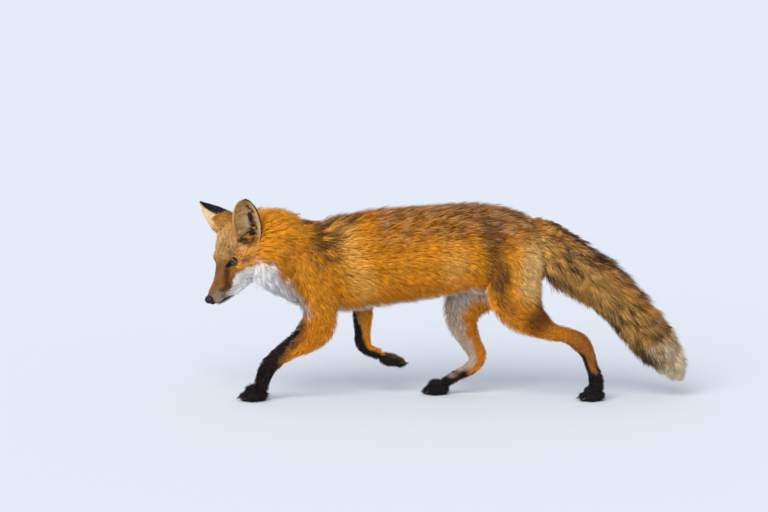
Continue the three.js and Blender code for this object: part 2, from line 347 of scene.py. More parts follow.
class Paint:
    """A material under construction."""

    def __init__(self, name: str) -> None:
        """Starts a material that holds a Principled shader.

        Args:
            name: the material's name.
        """
        self.material = bpy.data.materials.new(name)
        self.material.use_nodes = True
        self.tree = self.material.node_tree
        self.shader = self.tree.nodes["Principled BSDF"]

    def node(
        self,
        kind: str,
        settings: dict[str, object] | None = None,
        values: dict[str | int, object] | None = None,
        output: str | int = 0,
    ) -> Wire:
        """Adds a node.

        Args:
            kind: the node's type.
            settings: its own properties, set first; "stops" fills a colour ramp.
            values: what its inputs hold, a number, a colour or a wire.
            output: which of its outputs to return.

        Returns:
            That output.
        """
        made = self.tree.nodes.new(kind)
        for key, value in (settings or {}).items():
            if key == "stops":
                self._fill(made.color_ramp, value)
            else:
                setattr(made, key, value)
        for key, value in (values or {}).items():
            if isinstance(value, Wire):
                self.tree.links.new(value.socket, made.inputs[key])
            else:
                made.inputs[key].default_value = value
        return Wire(self, made.outputs[output])

    @staticmethod
    def _fill(ramp: bpy.types.ColorRamp, stops: list[tuple[float, Array]]) -> None:
        """Gives a colour ramp its stops, a place and a colour each.

        Args:
            ramp: the colour ramp.
            stops: where each colour is, and the colour.
        """
        while len(ramp.elements) < len(stops):
            ramp.elements.new(1.0)
        for element, (place, colour) in zip(ramp.elements, stops):
            element.position = place
            element.color = (*colour, 1.0)

    def attribute(self, name: str, output: str) -> Wire:
        """What a piece keeps for each point, as a colour or a vector."""
        return self.node("ShaderNodeAttribute", {"attribute_name": name}, output=output)

    def blend(self, share: Wire | float, a: object, b: object, how: str = "MIX") -> Wire:
        """A colour that goes from a to b."""
        settings = {"data_type": "RGBA", "blend_type": how}
        return self.node("ShaderNodeMix", settings, {0: share, 6: a, 7: b}, output=2)

    def noise(self, vector: Wire, scale: float, detail: float = 3.0) -> Wire:
        """Noise from 0 to 1."""
        return self.node("ShaderNodeTexNoise", {}, {"Vector": vector, "Scale": scale, "Detail": detail})

    def place(self) -> Wire:
        """The object coordinates, in metres."""
        return self.node("ShaderNodeTexCoord", output="Object")

    def relief(self, height: Wire, strength: float, distance: float) -> None:
        """Feeds a bump to the shader's normal; distance is in metres.

        Args:
            height: what the bump follows.
            strength: share of its full effect.
            distance: how high it stands.
        """
        values = {"Height": height, "Strength": strength, "Distance": distance}
        normal = self.node("ShaderNodeBump", {}, values)
        self.tree.links.new(normal.socket, self.shader.inputs["Normal"])

    def finish(self, colour: Wire | Array, roughness: Wire | float, **fixed: float) -> bpy.types.Material:
        """Sets the colour, the roughness and the shader's fixed numbers, and returns the material.

        Args:
            colour: the base colour.
            roughness: the roughness.
            fixed: other inputs of the shader, by name.

        Returns:
            The material.
        """
        for socket, value in (("Base Color", colour), ("Roughness", roughness)):
            if isinstance(value, Wire):
                self.tree.links.new(value.socket, self.shader.inputs[socket])
            elif socket == "Base Color":
                self.shader.inputs[socket].default_value = (*value, 1.0)
            else:
                self.shader.inputs[socket].default_value = value
        for key, value in fixed.items():
            self.shader.inputs[key.replace("_", " ")].default_value = value
        return self.material


@dataclass(frozen=True)
class FurFinish:
    """Hair: the coat's own colours, paler and darker by the strand."""

    name: str = "fur"
    roughness: float = 0.7
    grain: float = 900.0

    def material(self) -> bpy.types.Material:
        """The hair's material.

        Returns:
            The material.
        """
        paint = Paint(self.name)
        speck = paint.noise(paint.place(), self.grain, 1.0)
        shade = paint.blend(speck, (0.9, 0.9, 0.9, 1), (1.1, 1.1, 1.1, 1))
        colour = paint.blend(1.0, paint.attribute("tint", "Color"), shade, "MULTIPLY")
        return paint.finish(colour, self.roughness, Specular_IOR_Level=0.12)


@dataclass(frozen=True)
class SkinFinish:
    """Short hair that lies flat: the coat's colours, with fine strands as relief."""

    name: str = "short_fur"
    strands: float = 0.9
    depth: float = 0.0012

    def material(self) -> bpy.types.Material:
        """The skin's material. The strands run along the lie, where its vector is squeezed.

        Returns:
            The material.
        """
        paint = Paint(self.name)
        lie = paint.attribute("lie", "Vector")
        strand = paint.noise(lie, self.strands, 4.0)
        fleck = paint.noise(lie, 3.1 * self.strands, 2.0)
        shade = paint.blend(strand, (0.62, 0.6, 0.58, 1), (1.32, 1.32, 1.32, 1))
        colour = paint.blend(1.0, paint.attribute("tint", "Color"), shade, "MULTIPLY")
        paint.relief(strand * 0.65 + fleck * 0.35, 0.9, self.depth)
        return paint.finish(colour, fleck * 0.25 + 0.6, Specular_IOR_Level=0.15)


@dataclass(frozen=True)
class NoseFinish:
    """Wet black leather in small pebbles."""

    name: str = "nose_leather"
    pebbles: float = 1300.0

    def material(self) -> bpy.types.Material:
        """The nose's material.

        Returns:
            The material.
        """
        paint = Paint(self.name)
        place = paint.place()
        cells = paint.node("ShaderNodeTexVoronoi", {}, {"Vector": place, "Scale": self.pebbles})
        haze = paint.noise(place, 260.0)
        paint.relief(1.0 - cells, 0.5, 0.0004)
        colour = paint.blend(haze, (*tone(10, 9, 10), 1), (*tone(30, 28, 30), 1))
        return paint.finish(colour, haze * 0.2 + 0.4, Specular_IOR_Level=0.25, Coat_Weight=0.06)


@dataclass(frozen=True)
class PadFinish:
    """Dry black leather, as under the paws and on the rims of the eyelids."""

    name: str = "pad_leather"
    grain: float = 900.0
    roughness: float = 0.55

    def material(self) -> bpy.types.Material:
        """The leather's material.

        Returns:
            The material.
        """
        paint = Paint(self.name)
        grain = paint.noise(paint.place(), self.grain, 5.0)
        paint.relief(grain, 0.6, 0.0005)
        colour = paint.blend(grain, (*tone(12, 11, 11), 1), (*tone(48, 43, 41), 1))
        return paint.finish(colour, grain * 0.2 + self.roughness, Specular_IOR_Level=0.18)


@dataclass(frozen=True)
class HornFinish:
    """Claws: dark horn with lengthwise growth lines."""

    name: str = "claw_horn"

    def material(self) -> bpy.types.Material:
        """The claws' material.

        Returns:
            The material.
        """
        paint = Paint(self.name)
        grain = paint.noise(paint.place(), 1500.0, 4.0)
        paint.relief(grain, 0.4, 0.0002)
        colour = paint.blend(grain, (*tone(28, 24, 22), 1), (*tone(92, 80, 70), 1))
        return paint.finish(colour, grain * 0.2 + 0.3)


@dataclass(frozen=True)
class EyeFinish:
    """The eyeball: a slit pupil in an amber iris with a dark edge, under a wet cornea.

    It reads the eye's own coordinates, in which the gaze is x, the slit runs along z and 1 is the
    eyeball's radius.
    """

    name: str = "eyeball"
    iris: float = 0.66
    slit: Pair = (0.2, 0.4)

    def material(self) -> bpy.types.Material:
        """The eyeball's material: rings by the distance from the gaze, and the slit over them.

        Returns:
            The material.
        """
        paint = Paint(self.name)
        local = paint.attribute("gaze", "Vector")
        split = paint.node("ShaderNodeSeparateXYZ", {}, {0: local}, output="Y")
        rise = Wire(paint, split.socket.node.outputs["Z"])
        far = paint.node("ShaderNodeMath", {"operation": "SQRT"}, {0: split * split + rise * rise})
        fibres = paint.noise(local, 14.0, 4.0)
        where = far * (1.0 / self.iris) + (fibres - 0.5) * 0.1
        rings = [
            (0.0, tone(58, 42, 24)),
            (0.5, tone(118, 88, 50)),
            (0.82, tone(98, 68, 36)),
            (0.93, tone(36, 24, 15)),
            (1.0, tone(18, 13, 12)),
        ]
        ramp = paint.node("ShaderNodeValToRGB", {"stops": rings}, {0: where})
        wide, tall = (1.0 / s for s in self.slit)
        slit = split * split * (wide * wide) + rise * rise * (tall * tall)
        open_ = paint.node("ShaderNodeMath", {"operation": "GREATER_THAN"}, {0: slit, 1: 1.0})
        colour = paint.blend(open_, (0.004, 0.004, 0.004, 1), ramp)
        return paint.finish(colour, 0.2, Specular_IOR_Level=0.2, Coat_Weight=0.35, Coat_Roughness=0.03)


@dataclass(frozen=True)
class FloorFinish:
    """A plain pale floor."""

    name: str = "pale_floor"

    def material(self) -> bpy.types.Material:
        """The floor's material."""
        return Paint(self.name).finish(tone(202, 207, 213), 0.9)


# ---- the animal's form -----------------------------------------------------------------------
class Part(IntEnum):
    """The limbs, by their place in LIMBS."""

    TORSO = 0
    TAIL = 1
    HIND_LEFT = 2
    HIND_RIGHT = 3
    FORE_LEFT = 4
    FORE_RIGHT = 5
    SKULL = 6
    JAW = 7


class Side(Enum):
    """A side of the head: the sign of the head's left coordinate there."""

    LEFT = 1.0
    RIGHT = -1.0


@dataclass
class Stations:
    """Sections of a limb: where each is, which way it faces, how far it reaches, and its coat."""

    centre: Array
    along: Array
    side: Array
    top: Array
    reach: Array  # half width, up, down, out to the tips of the coat
    coat: Array  # depth of the coat at the side, above and below


@dataclass(frozen=True)
class Limb:
    """A part of the body: oval sections along a spline.

    Each row is x, y, z, half width, reach up, reach down, and the coat's depth at the side, above
    and below, all in mm. Up is to the right of the path as the animal's left side sees it. A
    section is a superellipse: its sideways and upward shares, each to the power `square`, sum to 1.
    """

    name: str
    rows: Rows
    flows: float  # 1 where the coat lies along the rows, -1 where it lies against them
    droop: float = 0.0  # how much the coat turns down low on the side
    fan: float = 0.0  # how much it spreads up and down at the last rows
    sweep: float = 0.0  # how much it turns back, to +X, at the first rows
    square: float = 2.15
    dome: float = 0.5
    frame: tuple[Array, Array] | None = None  # axes and place of the rows' own frame

    def stations(self, t: Array) -> Stations:
        """The sections at places t along the rows.

        Args:
            t: places along the rows.

        Returns:
            One section for each place.
        """
        rows = np.array(self.rows)
        last = len(rows) - 1
        here = between(rows, t)
        ahead = between(rows[:, :3], np.minimum(t + 0.05, last))
        behind = between(rows[:, :3], np.maximum(t - 0.05, 0))
        along = unit(ahead - behind)
        across = np.array([0.0, 1.0, 0.0])
        side = unit(across - along * (along @ across)[:, None])
        top = np.cross(side, along)
        centre = here[:, :3]
        if self.frame is not None:
            axes, at = self.frame
            centre = centre @ axes + at
            along, side, top = along @ axes, side @ axes, top @ axes
        return Stations(centre, along, side, top, here[:, 3:6], here[:, 6:9])

    def skin(self, rings: int, sides: int) -> Shell:
        """The limb's skin, a closed tube whose ends are domes, inside the coat's depth.

        Args:
            rings: how many sections.
            sides: points round each.

        Returns:
            The closed skin.
        """
        last = len(self.rows) - 1
        caps = np.linspace(0, 1, 6)[1:]
        t = np.concatenate([np.zeros(5), np.linspace(0, last, rings), np.full(5, last)])
        end = np.concatenate([-caps[::-1], np.zeros(rings), caps])
        s = self.stations(t)
        angle = np.linspace(0, 2 * math.pi, sides, endpoint=False)[None, :]
        c, n = np.cos(angle), np.sin(angle)
        wide = np.sign(c) * np.abs(c) ** (2 / self.square)
        high = np.sign(n) * np.abs(n) ** (2 / self.square)
        bare = np.maximum(s.reach - s.coat, 2.0)
        turn = end * math.pi / 2
        shrink = np.where(np.abs(end) > 0.99, 0.1, np.cos(turn))
        push = np.sin(turn) * self.dome * bare.min(axis=1)
        centre = s.centre + s.along * push[:, None]
        up = np.where(high > 0, bare[:, 1:2], bare[:, 2:3]) * high * shrink[:, None]
        out = bare[:, 0:1] * wide * shrink[:, None]
        rings_ = centre[:, None] + out[..., None] * s.side[:, None] + up[..., None] * s.top[:, None]
        return closed_grid(rings_)

    def locate(self, points: Array) -> dict[str, Array]:
        """Where points lie on the limb.

        The nearest section is found among 90, then refined along its axis. `aside` and `rise` are
        the shares of the skin's reach to the right and up, `out` is how far outside the skin a
        point is in mm, and `flow` is the way that the coat lies there.

        Args:
            points: places in mm.

        Returns:
            Arrays with one row for each point, by name.
        """
        last = len(self.rows) - 1
        t = np.linspace(0, last, 90)
        axis = self.stations(t).centre
        gap = (points**2).sum(1)[:, None] - 2 * points @ axis.T + (axis**2).sum(1)[None, :]
        near = t[np.argmin(gap, axis=1)]
        s = self.stations(near)
        ahead = self.stations(np.minimum(near + 0.02, last)).centre
        behind = self.stations(np.maximum(near - 0.02, 0)).centre
        gone = np.minimum(near + 0.02, last) - np.maximum(near - 0.02, 0)
        pace = np.linalg.norm(ahead - behind, axis=1) / gone
        near = np.clip(near + dot(points - s.centre, s.along) / np.maximum(pace, 1.0), 0, last)
        s = self.stations(near)
        away = points - s.centre
        x, y = dot(away, s.side), dot(away, s.top)
        bare = np.maximum(s.reach - s.coat, 2.0)
        reach = np.where(y > 0, bare[:, 1], bare[:, 2])
        aside, rise = x / bare[:, 0], y / reach
        ratio = (np.abs(aside) ** self.square + np.abs(rise) ** self.square) ** (1 / self.square)
        beyond = np.maximum(np.abs(dot(away, s.along)) - 1.0, 0)
        out = (ratio - 1) * np.minimum(bare[:, 0], reach) + beyond
        share = aside**2 / np.maximum(aside**2 + rise**2, 1e-6)
        depth = s.coat[:, 0] * share + np.where(y > 0, s.coat[:, 1], s.coat[:, 2]) * (1 - share)
        size = np.maximum(ratio, 0.2)
        down = self.droop * np.clip(0.6 - rise / size, 0.0, 1.7) ** 2
        down = down * smooth(-0.15, 0.35, near / last)
        spread = self.fan * smooth(0.62, 0.88, near / last) * rise / size
        back = self.sweep * smooth(0.58, 0.3, near / last)
        flow = self.flows * s.along + spread[:, None] * s.top
        flow = unit(flow + np.stack([back, 0 * back, -down], axis=1))
        lie = np.stack([x, y, 0.1 * near * pace], axis=1)
        return {
            "t": near / last,
            "aside": aside / size,
            "rise": rise / size,
            "out": out,
            "depth": depth,
            "flow": flow,
            "lie": lie,
            "angle": np.arctan2(y, x) / (2 * math.pi) + 0.5,
        }


def head_frame() -> tuple[Array, Array]:
    """The head's axes, forward, left and up, as rows, and its place between the eyes.

    Returns:
        The axes and the place.
    """
    yaw, pitch = math.radians(36), math.radians(44)
    forward = [-math.cos(yaw) * math.cos(pitch), -math.sin(yaw) * math.cos(pitch), -math.sin(pitch)]
    left = [math.sin(yaw), -math.cos(yaw), 0]
    up = [-math.cos(yaw) * math.sin(pitch), -math.sin(yaw) * math.sin(pitch), math.cos(pitch)]
    return np.array([forward, left, up]), np.array([-435.0, -20.0, 282.0])


HEAD_AXES, HEAD_AT = head_frame()

TORSO = Limb(
    "torso",
    (
        (196, 0, 297, 34, 42, 46, 12, 7, 12),
        (168, 0, 296, 52, 72, 76, 13, 9, 14),
        (128, 0, 297, 62, 86, 88, 14, 12, 14),
        (82, 0, 300, 65, 94, 91, 14, 15, 14),
        (32, 0, 302, 65, 94, 91, 14, 15, 14),
        (-28, 0, 298, 67, 94, 96, 14, 15, 15),
        (-88, 0, 291, 70, 97, 99, 14, 15, 16),
        (-148, 0, 284, 71, 98, 100, 15, 16, 17),
        (-198, 0, 277, 69, 97, 101, 16, 17, 18),
        (-244, 0, 273, 65, 92, 97, 17, 18, 20),
        (-282, 0, 280, 62, 87, 90, 18, 17, 18),
        (-312, 0, 290, 64, 87, 82, 18, 16, 13),
        (-344, 0, 301, 65, 83, 77, 18, 15, 11),
        (-372, 2, 305, 56, 78, 72, 15, 13, 9),
        (-390, 4, 302, 36, 62, 60, 12, 12, 8),
    ),
    flows=-1,
    droop=0.5,
    fan=0.5,
)
TAIL = Limb(
    "tail",
    (
        (474, 4, 43, 8, 9, 9, 5, 5, 5),
        (464, 4, 62, 20, 22, 22, 12, 12, 12),
        (442, 6, 90, 34, 36, 35, 18, 18, 18),
        (408, 8, 130, 45, 47, 46, 22, 21, 22),
        (364, 10, 176, 52, 53, 53, 24, 22, 23),
        (312, 10, 227, 54, 55, 56, 24, 21, 23),
        (262, 8, 268, 51, 54, 56, 22, 19, 21),
        (212, 4, 304, 47, 50, 56, 17, 9, 14),
        (182, 2, 322, 41, 44, 46, 14, 6, 12),
        (150, 0, 334, 30, 28, 28, 10, 5, 9),
    ),
    flows=-1,
    droop=0.75,
)
HIND_LEFT = Limb(
    "hindleg_left",
    (
        (152, -26, 322, 20, 40, 36, 11, 11, 11),
        (150, -40, 280, 33, 64, 46, 13, 13, 12),
        (144, -41, 242, 34, 64, 52, 13, 13, 12),
        (142, -41, 208, 31, 58, 54, 12, 12, 12),
        (160, -40, 172, 26, 40, 45, 9, 10, 11),
        (208, -39, 143, 19, 22, 22, 6, 6, 6),
        (244, -38, 133, 16, 18, 18, 5, 5, 5),
        (272, -37, 118, 16, 21, 20, 4, 4, 4),
        (287, -36, 96, 14, 17, 16, 4, 4, 4),
        (295, -36, 70, 13, 14, 15, 4, 4, 4),
        (302, -36, 44, 14, 14, 18, 3, 3, 4),
        (302, -36, 24, 15, 15, 20, 3, 3, 4),
    ),
    flows=1,
    sweep=1.0,
    dome=0.4,
)
HIND_RIGHT = Limb(
    "hindleg_right",
    (
        (132, 26, 318, 20, 42, 38, 11, 11, 11),
        (110, 40, 272, 33, 60, 54, 13, 13, 12),
        (76, 41, 232, 33, 58, 58, 13, 12, 12),
        (44, 38, 192, 29, 46, 44, 12, 11, 11),
        (38, 38, 152, 23, 37, 33, 8, 8, 9),
        (52, 37, 112, 17, 24, 24, 5, 5, 6),
        (66, 36, 80, 16, 18, 22, 4, 4, 5),
        (54, 36, 56, 14, 14, 17, 4, 4, 4),
        (24, 36, 38, 13, 13, 14, 4, 4, 4),
        (2, 36, 24, 15, 13, 13, 4, 4, 4),
    ),
    flows=1,
    sweep=1.0,
    dome=0.4,
)
FORE_LEFT = Limb(
    "foreleg_left",
    (
        (-256, -34, 314, 17, 36, 40, 10, 12, 12),
        (-262, -44, 274, 31, 46, 54, 13, 14, 14),
        (-256, -45, 226, 29, 38, 50, 12, 13, 13),
        (-249, -43, 184, 26, 35, 38, 10, 11, 12),
        (-256, -42, 151, 23, 34, 40, 8, 8, 10),
        (-278, -40, 126, 20, 28, 33, 6, 6, 7),
        (-304, -38, 108, 17, 23, 24, 5, 5, 6),
        (-330, -37, 89, 17, 20, 20, 4, 4, 5),
        (-350, -36, 68, 16, 18, 18, 4, 4, 4),
        (-362, -35, 44, 15, 15, 16, 4, 4, 4),
        (-366, -35, 24, 16, 15, 15, 4, 4, 4),
    ),
    flows=1,
    sweep=0.55,
    dome=0.4,
)
FORE_RIGHT = Limb(
    "foreleg_right",
    (
        (-240, 34, 308, 17, 36, 40, 10, 12, 12),
        (-226, 45, 268, 31, 46, 50, 13, 14, 14),
        (-188, 45, 222, 27, 36, 44, 11, 12, 12),
        (-166, 42, 184, 20, 24, 26, 7, 7, 8),
        (-163, 42, 154, 17, 22, 21, 5, 5, 6),
        (-163, 41, 126, 15, 18, 18, 4, 4, 5),
        (-163, 41, 106, 15, 17, 18, 4, 4, 4),
        (-152, 40, 91, 14, 14, 14, 4, 4, 4),
        (-132, 40, 82, 15, 13, 14, 4, 4, 4),
    ),
    flows=1,
    sweep=0.55,
    dome=0.4,
)
SKULL = Limb(
    "skull",
    (
        (84, 0, -32, 8, 9, 9, 1.5, 1.5, 1.5),
        (77, 0, -32, 12.5, 13, 12.5, 1.6, 1.6, 1.6),
        (64, 0, -31, 15.5, 17, 18.5, 2, 2, 2),
        (46, 0, -30, 17.5, 21, 27, 2.5, 2, 2),
        (29, 0, -27, 21, 25, 36, 3, 2.5, 3),
        (12, 0, -22, 26, 31, 47, 4, 3, 5),
        (-2, 0, -19, 37, 42, 56, 6, 4, 6),
        (-16, 0, -18, 49, 53, 64, 9, 6, 8),
        (-32, 0, -18, 60, 60, 68, 12, 7, 9),
        (-50, 0, -18, 67, 61, 68, 14, 8, 9),
        (-70, 0, -18, 60, 51, 60, 14, 9, 9),
        (-86, 0, -16, 44, 38, 42, 14, 9, 14),
    ),
    flows=1,
    square=2.2,
    dome=0.35,
    frame=(HEAD_AXES, HEAD_AT),
)
JAW = Limb(
    "jaw",
    (
        (75, 0, -46.5, 6.5, 4, 4, 1.5, 1, 1),
        (64, 0, -50.5, 9.5, 6, 6, 2, 1.5, 2),
        (46, 0, -56, 12, 8, 8, 2.5, 1.5, 3),
        (29, 0, -59, 16, 9, 11, 3.5, 1.5, 5),
        (10, 0, -58, 24, 12, 17, 6, 3, 8),
        (-10, 0, -52, 34, 20, 30, 10, 6, 12),
    ),
    flows=1,
    dome=0.5,
    frame=(HEAD_AXES, HEAD_AT),
)
LIMBS = (TORSO, TAIL, HIND_LEFT, HIND_RIGHT, FORE_LEFT, FORE_RIGHT, SKULL, JAW)


@dataclass
class Places:
    """Where points of the skin or the coat lie on the whole animal."""

    points: Array
    part: Array  # which limb, as an index into LIMBS
    share: Array  # how much each limb has to say there
    on: list[dict[str, Array]]

    def weighed(self, name: str) -> Array:
        """A value of the limbs, a vector or a number for each point, averaged by their shares."""
        return sum((s[name].T * w).T for s, w in zip(self.on, self.share.T))

    def take(self, name: str) -> Array:
        """A value of each point's own limb."""
        stacked = np.stack([s[name] for s in self.on])
        return stacked[self.part, np.arange(len(self.part))]


def locate(points: Array, blend: float = 9.0) -> Places:
    """Finds the limb that each point lies on, which is the one whose skin it is least outside.

    A limb's share falls as exp(-(d / blend)^2), where d is how much farther outside it a point is
    than outside its own limb.

    Args:
        points: places in mm.
        blend: mm over which a neighbour's share fades.

    Returns:
        Where they lie on every limb, and each limb's share.
    """
    on = [limb.locate(points) for limb in LIMBS]
    out = np.stack([s["out"] for s in on], axis=1)
    beyond = np.maximum(out, 0)
    share = np.exp(-(((beyond - beyond.min(axis=1, keepdims=True)) / blend) ** 2))
    share /= share.sum(axis=1, keepdims=True)
    return Places(points, np.argmin(beyond + 0.02 * out, axis=1), share, on)


def in_head(points: Array) -> Array:
    """Points in the head's frame: forward, left and up of the place between the eyes."""
    return (points - HEAD_AT) @ HEAD_AXES.T


# ---- markings --------------------------------------------------------------------------------
ORANGE = tone(238, 158, 30)
GOLD = tone(250, 190, 88)
DEEP_ORANGE = tone(222, 130, 18)
PALE_ORANGE = tone(250, 208, 136)
RUST = tone(172, 92, 24)
MAHOGANY = tone(112, 62, 34)
TAN = tone(226, 176, 106)
CREAM = tone(246, 226, 190)
WHITE = tone(252, 249, 247)
SILVER = tone(206, 198, 192)
BROWN = tone(136, 90, 46)
DUSK = tone(66, 48, 38)
BLACK = tone(26, 24, 26)

LEAST_SHARE = 0.002  # of a limb that still has a say in a place's colour
WARM_RED = (0.05, 0.2)  # linear red at which a colour begins to count as warm, and fully does

# The upper edge of the white on cheek, throat and chest: x, and z there.
WHITE_EDGE = (
    (-420, -408, -394, -372, -356, -338, -329, -319, -300, -291, -284, -276),
    (262, 267, 272, 277, 283, 271, 259, 252, 240, 226, 204, 186),
)
# The upper edge of the white on the face, which climbs backwards: forward of the eyes, and up.
CHEEK_EDGE = (
    (-90, -50, -30, -18, -6, 6, 14, 23, 34, 44, 56, 84),
    (-36, -38, -35, -30, -26, -25, -26, -30, -38, -42, -40, -38),
)
# Painted shade in the crease where the flank meets the thigh: its upper and its lower end in the side view.
THIGH_LINE = ((92, 350), (112, 250))
# How far round from the front a foreleg is black: share of its length, and the share of `front`
# above which the black lies.
NEAR_FORE_BLACK = ((0.3, 0.45, 0.6, 0.72, 0.8), (1.05, 0.8, 0.3, -0.5, -1.5))
FAR_FORE_BLACK = ((0.3, 0.5, 0.62, 0.8, 1.0), (1.0, 0.45, -0.1, -0.35, -0.6))


@dataclass
class Tints:
    """The coat's colours at some places: of the skin and the hair's middle, and of its tip."""

    middle: Array
    tip: Array
    pale: Array  # chance of a pale tip
    dark: Array  # chance of a dark tip


class Dye:
    """The colours of some places, with one marking laid over another."""

    def __init__(self, colour: Array, count: int) -> None:
        """Starts with one colour all over."""
        self.colour = np.tile(colour, (count, 1))

    def lay(self, colour: Array, share: Array) -> None:
        """Lays a colour over the others; share is how fully, at each place."""
        self.colour = mix(self.colour, colour, share)


def near_line(x: Array, z: Array, start: Pair, end: Pair, reach: float) -> Array:
    """A soft stroke in a flat view: 1 on the line from start to end, 0 from the reach on.

    The stroke falls with the distance from the nearest point of the line.

    Args:
        x: one coordinate of each place.
        z: the other one.
        start: one end.
        end: the other end.
        reach: where the stroke has faded.

    Returns:
        One value for each place.
    """
    a, b = np.array(start, float), np.array(end, float)
    p = np.stack([x, z], axis=1)
    s = np.clip((p - a) @ (b - a) / ((b - a) @ (b - a)), 0, 1)
    return smooth(reach, 0.15 * reach, np.linalg.norm(p - a - s[:, None] * (b - a), axis=1))


def markings_and_shade(spot: Places) -> Tints:
    """The fox's markings and painted shade, from where each point lies on the body.

    Each limb has its own pattern, and the limbs' colours are averaged by their shares, so that
    one pattern runs into the next as the coat does.

    Args:
        spot: places on the body.

    Returns:
        Their colours.
    """
    count = len(spot.points)
    total = Tints(np.zeros((count, 3)), np.zeros((count, 3)), np.zeros(count), np.zeros(count))
    for part in Part:
        weight = spot.share[:, part]
        used = weight > LEAST_SHARE
        if not used.any():
            continue
        here = {key: value[used] for key, value in spot.on[part].items()}
        made = _pattern(part, spot.points[used], here)
        w = weight[used]
        total.middle[used] += made.middle * w[:, None]
        total.tip[used] += made.tip * w[:, None]
        total.pale[used] += made.pale * w
        total.dark[used] += made.dark * w
    # Painted shade: the hollows at the feet of the ears are darkened most of the way to dusk.
    painted_shade = 0.95 * ear_mouths(spot.points, 0.95)
    total.middle = mix(total.middle, 0.6 * DUSK, painted_shade)
    total.tip = mix(total.tip, 0.7 * DUSK, painted_shade)
    return total


def _pattern(part: Part, p: Array, on: dict[str, Array]) -> Tints:
    """The markings of one limb, and on the trunk and the hind legs a painted shadow before the thigh.

    Args:
        part: the limb.
        p: places in mm.
        on: where they lie on it.

    Returns:
        Their colours.
    """
    if part == Part.TORSO:
        return _torso_tints(p, on)
    if part == Part.TAIL:
        return _tail_tints(p, on)
    if part in (Part.SKULL, Part.JAW):
        return _head_tints(p, on)
    return LegMarkings(part, p, on).tints()


def withers(p: Array) -> Array:
    """The dark band over the withers, broken into clumps: 1 in it and 0 away from it.

    Args:
        p: places in mm.

    Returns:
        One value for each place.
    """
    x, _, z = p.T
    band = bump(x, -236, 54) * smooth(266, 292, z)
    ridge = near_line(x, z, (-258, 360), (-176, 376), 26)
    return np.maximum(band, 0.9 * ridge) * smooth(-0.45, 0.2, waves(p, 13, 2) + 0.3)


def _torso_tints(p: Array, on: dict[str, Array]) -> Tints:
    """Trunk and neck: an orange ruff and flanks, a grizzled saddle, a white throat and belly, and a painted
    shadow before the thigh.

    Args:
        p: places in mm.
        on: where they lie on the trunk.

    Returns:
        Their colours.
    """
    x, _, z = p.T
    rise = on["rise"] + 0.1 * waves(p, 24, 1)
    dye = Dye(ORANGE, len(p))
    dye.lay(DEEP_ORANGE, 0.55 * smooth(-0.3, -0.7, rise) * smooth(-290, -240, x))
    bright = near_line(x, z, (-206, 350), (-160, 232), 44) + bump(x, 22, 46) * bump(z, 274, 66)
    hip = bump(x, 176, 46) * bump(z, 270, 62)
    bright = np.clip(bright + 0.6 * hip, 0, 1)
    dye.lay(GOLD, 0.85 * bright)
    saddle = smooth(-0.1, 0.55, rise) * smooth(-170, -110, x) * (1 - 0.8 * bright)
    crest = smooth(0.7, 0.95, rise) * smooth(-262, -236, x)
    dye.lay(RUST, np.clip(0.4 * saddle + 0.45 * crest, 0, 0.62))
    dye.lay(BROWN, 0.4 * saddle * smooth(-40, 110, x) * smooth(0.2, 0.7, rise))
    wither = withers(p)
    dye.lay(0.78 * MAHOGANY, 0.94 * wither)
    # Painted shadow in the crease before the thigh, with more dark and pale tips in it.
    shadow = near_line(x, z, (92, 350), (100, 262), 32)
    dye.lay(BROWN, 0.5 * shadow)
    dye.lay(PALE_ORANGE, 0.9 * hip)
    line = np.interp(x, WHITE_EDGE[0], WHITE_EDGE[1])
    white = smooth(9, -9, z + 7 * waves(p, 16, 3) - line) * smooth(-272, -286, x)
    under = smooth(-0.93, -0.995, on["rise"]) * smooth(-266, -240, x)
    groin = smooth(30, 60, x) * smooth(150, 120, x) * smooth(232, 216, z)
    white = np.clip(white + under + groin, 0, 1)
    dye.lay(WHITE, white)
    # Dark clumps low on the chest before the foreleg: partly its dark hairs and partly painted shade where
    # chest and leg meet.
    chest = bump(x, -284, 30) * bump(z, 206, 36) * smooth(-0.1, 0.4, waves(p, 9, 4))
    dye.lay(DUSK, 0.75 * chest)
    quiet = 1 - white
    nape = smooth(0.75, 0.95, rise) * smooth(-262, -290, x)
    rump = saddle * smooth(20, 90, x)
    pale = 0.03 + 0.34 * saddle + 0.14 * rump + 0.18 * crest + 0.2 * wither + 0.3 * shadow + 0.2 * nape
    dark = 0.03 + 0.34 * saddle + 0.22 * crest + 0.4 * wither + 0.42 * shadow
    dark *= 1 - 0.8 * hip
    tip = mix(dye.colour, PALE_ORANGE, 0.12 * quiet)
    return Tints(dye.colour, tip, pale * quiet, dark * quiet + 0.15 * chest)


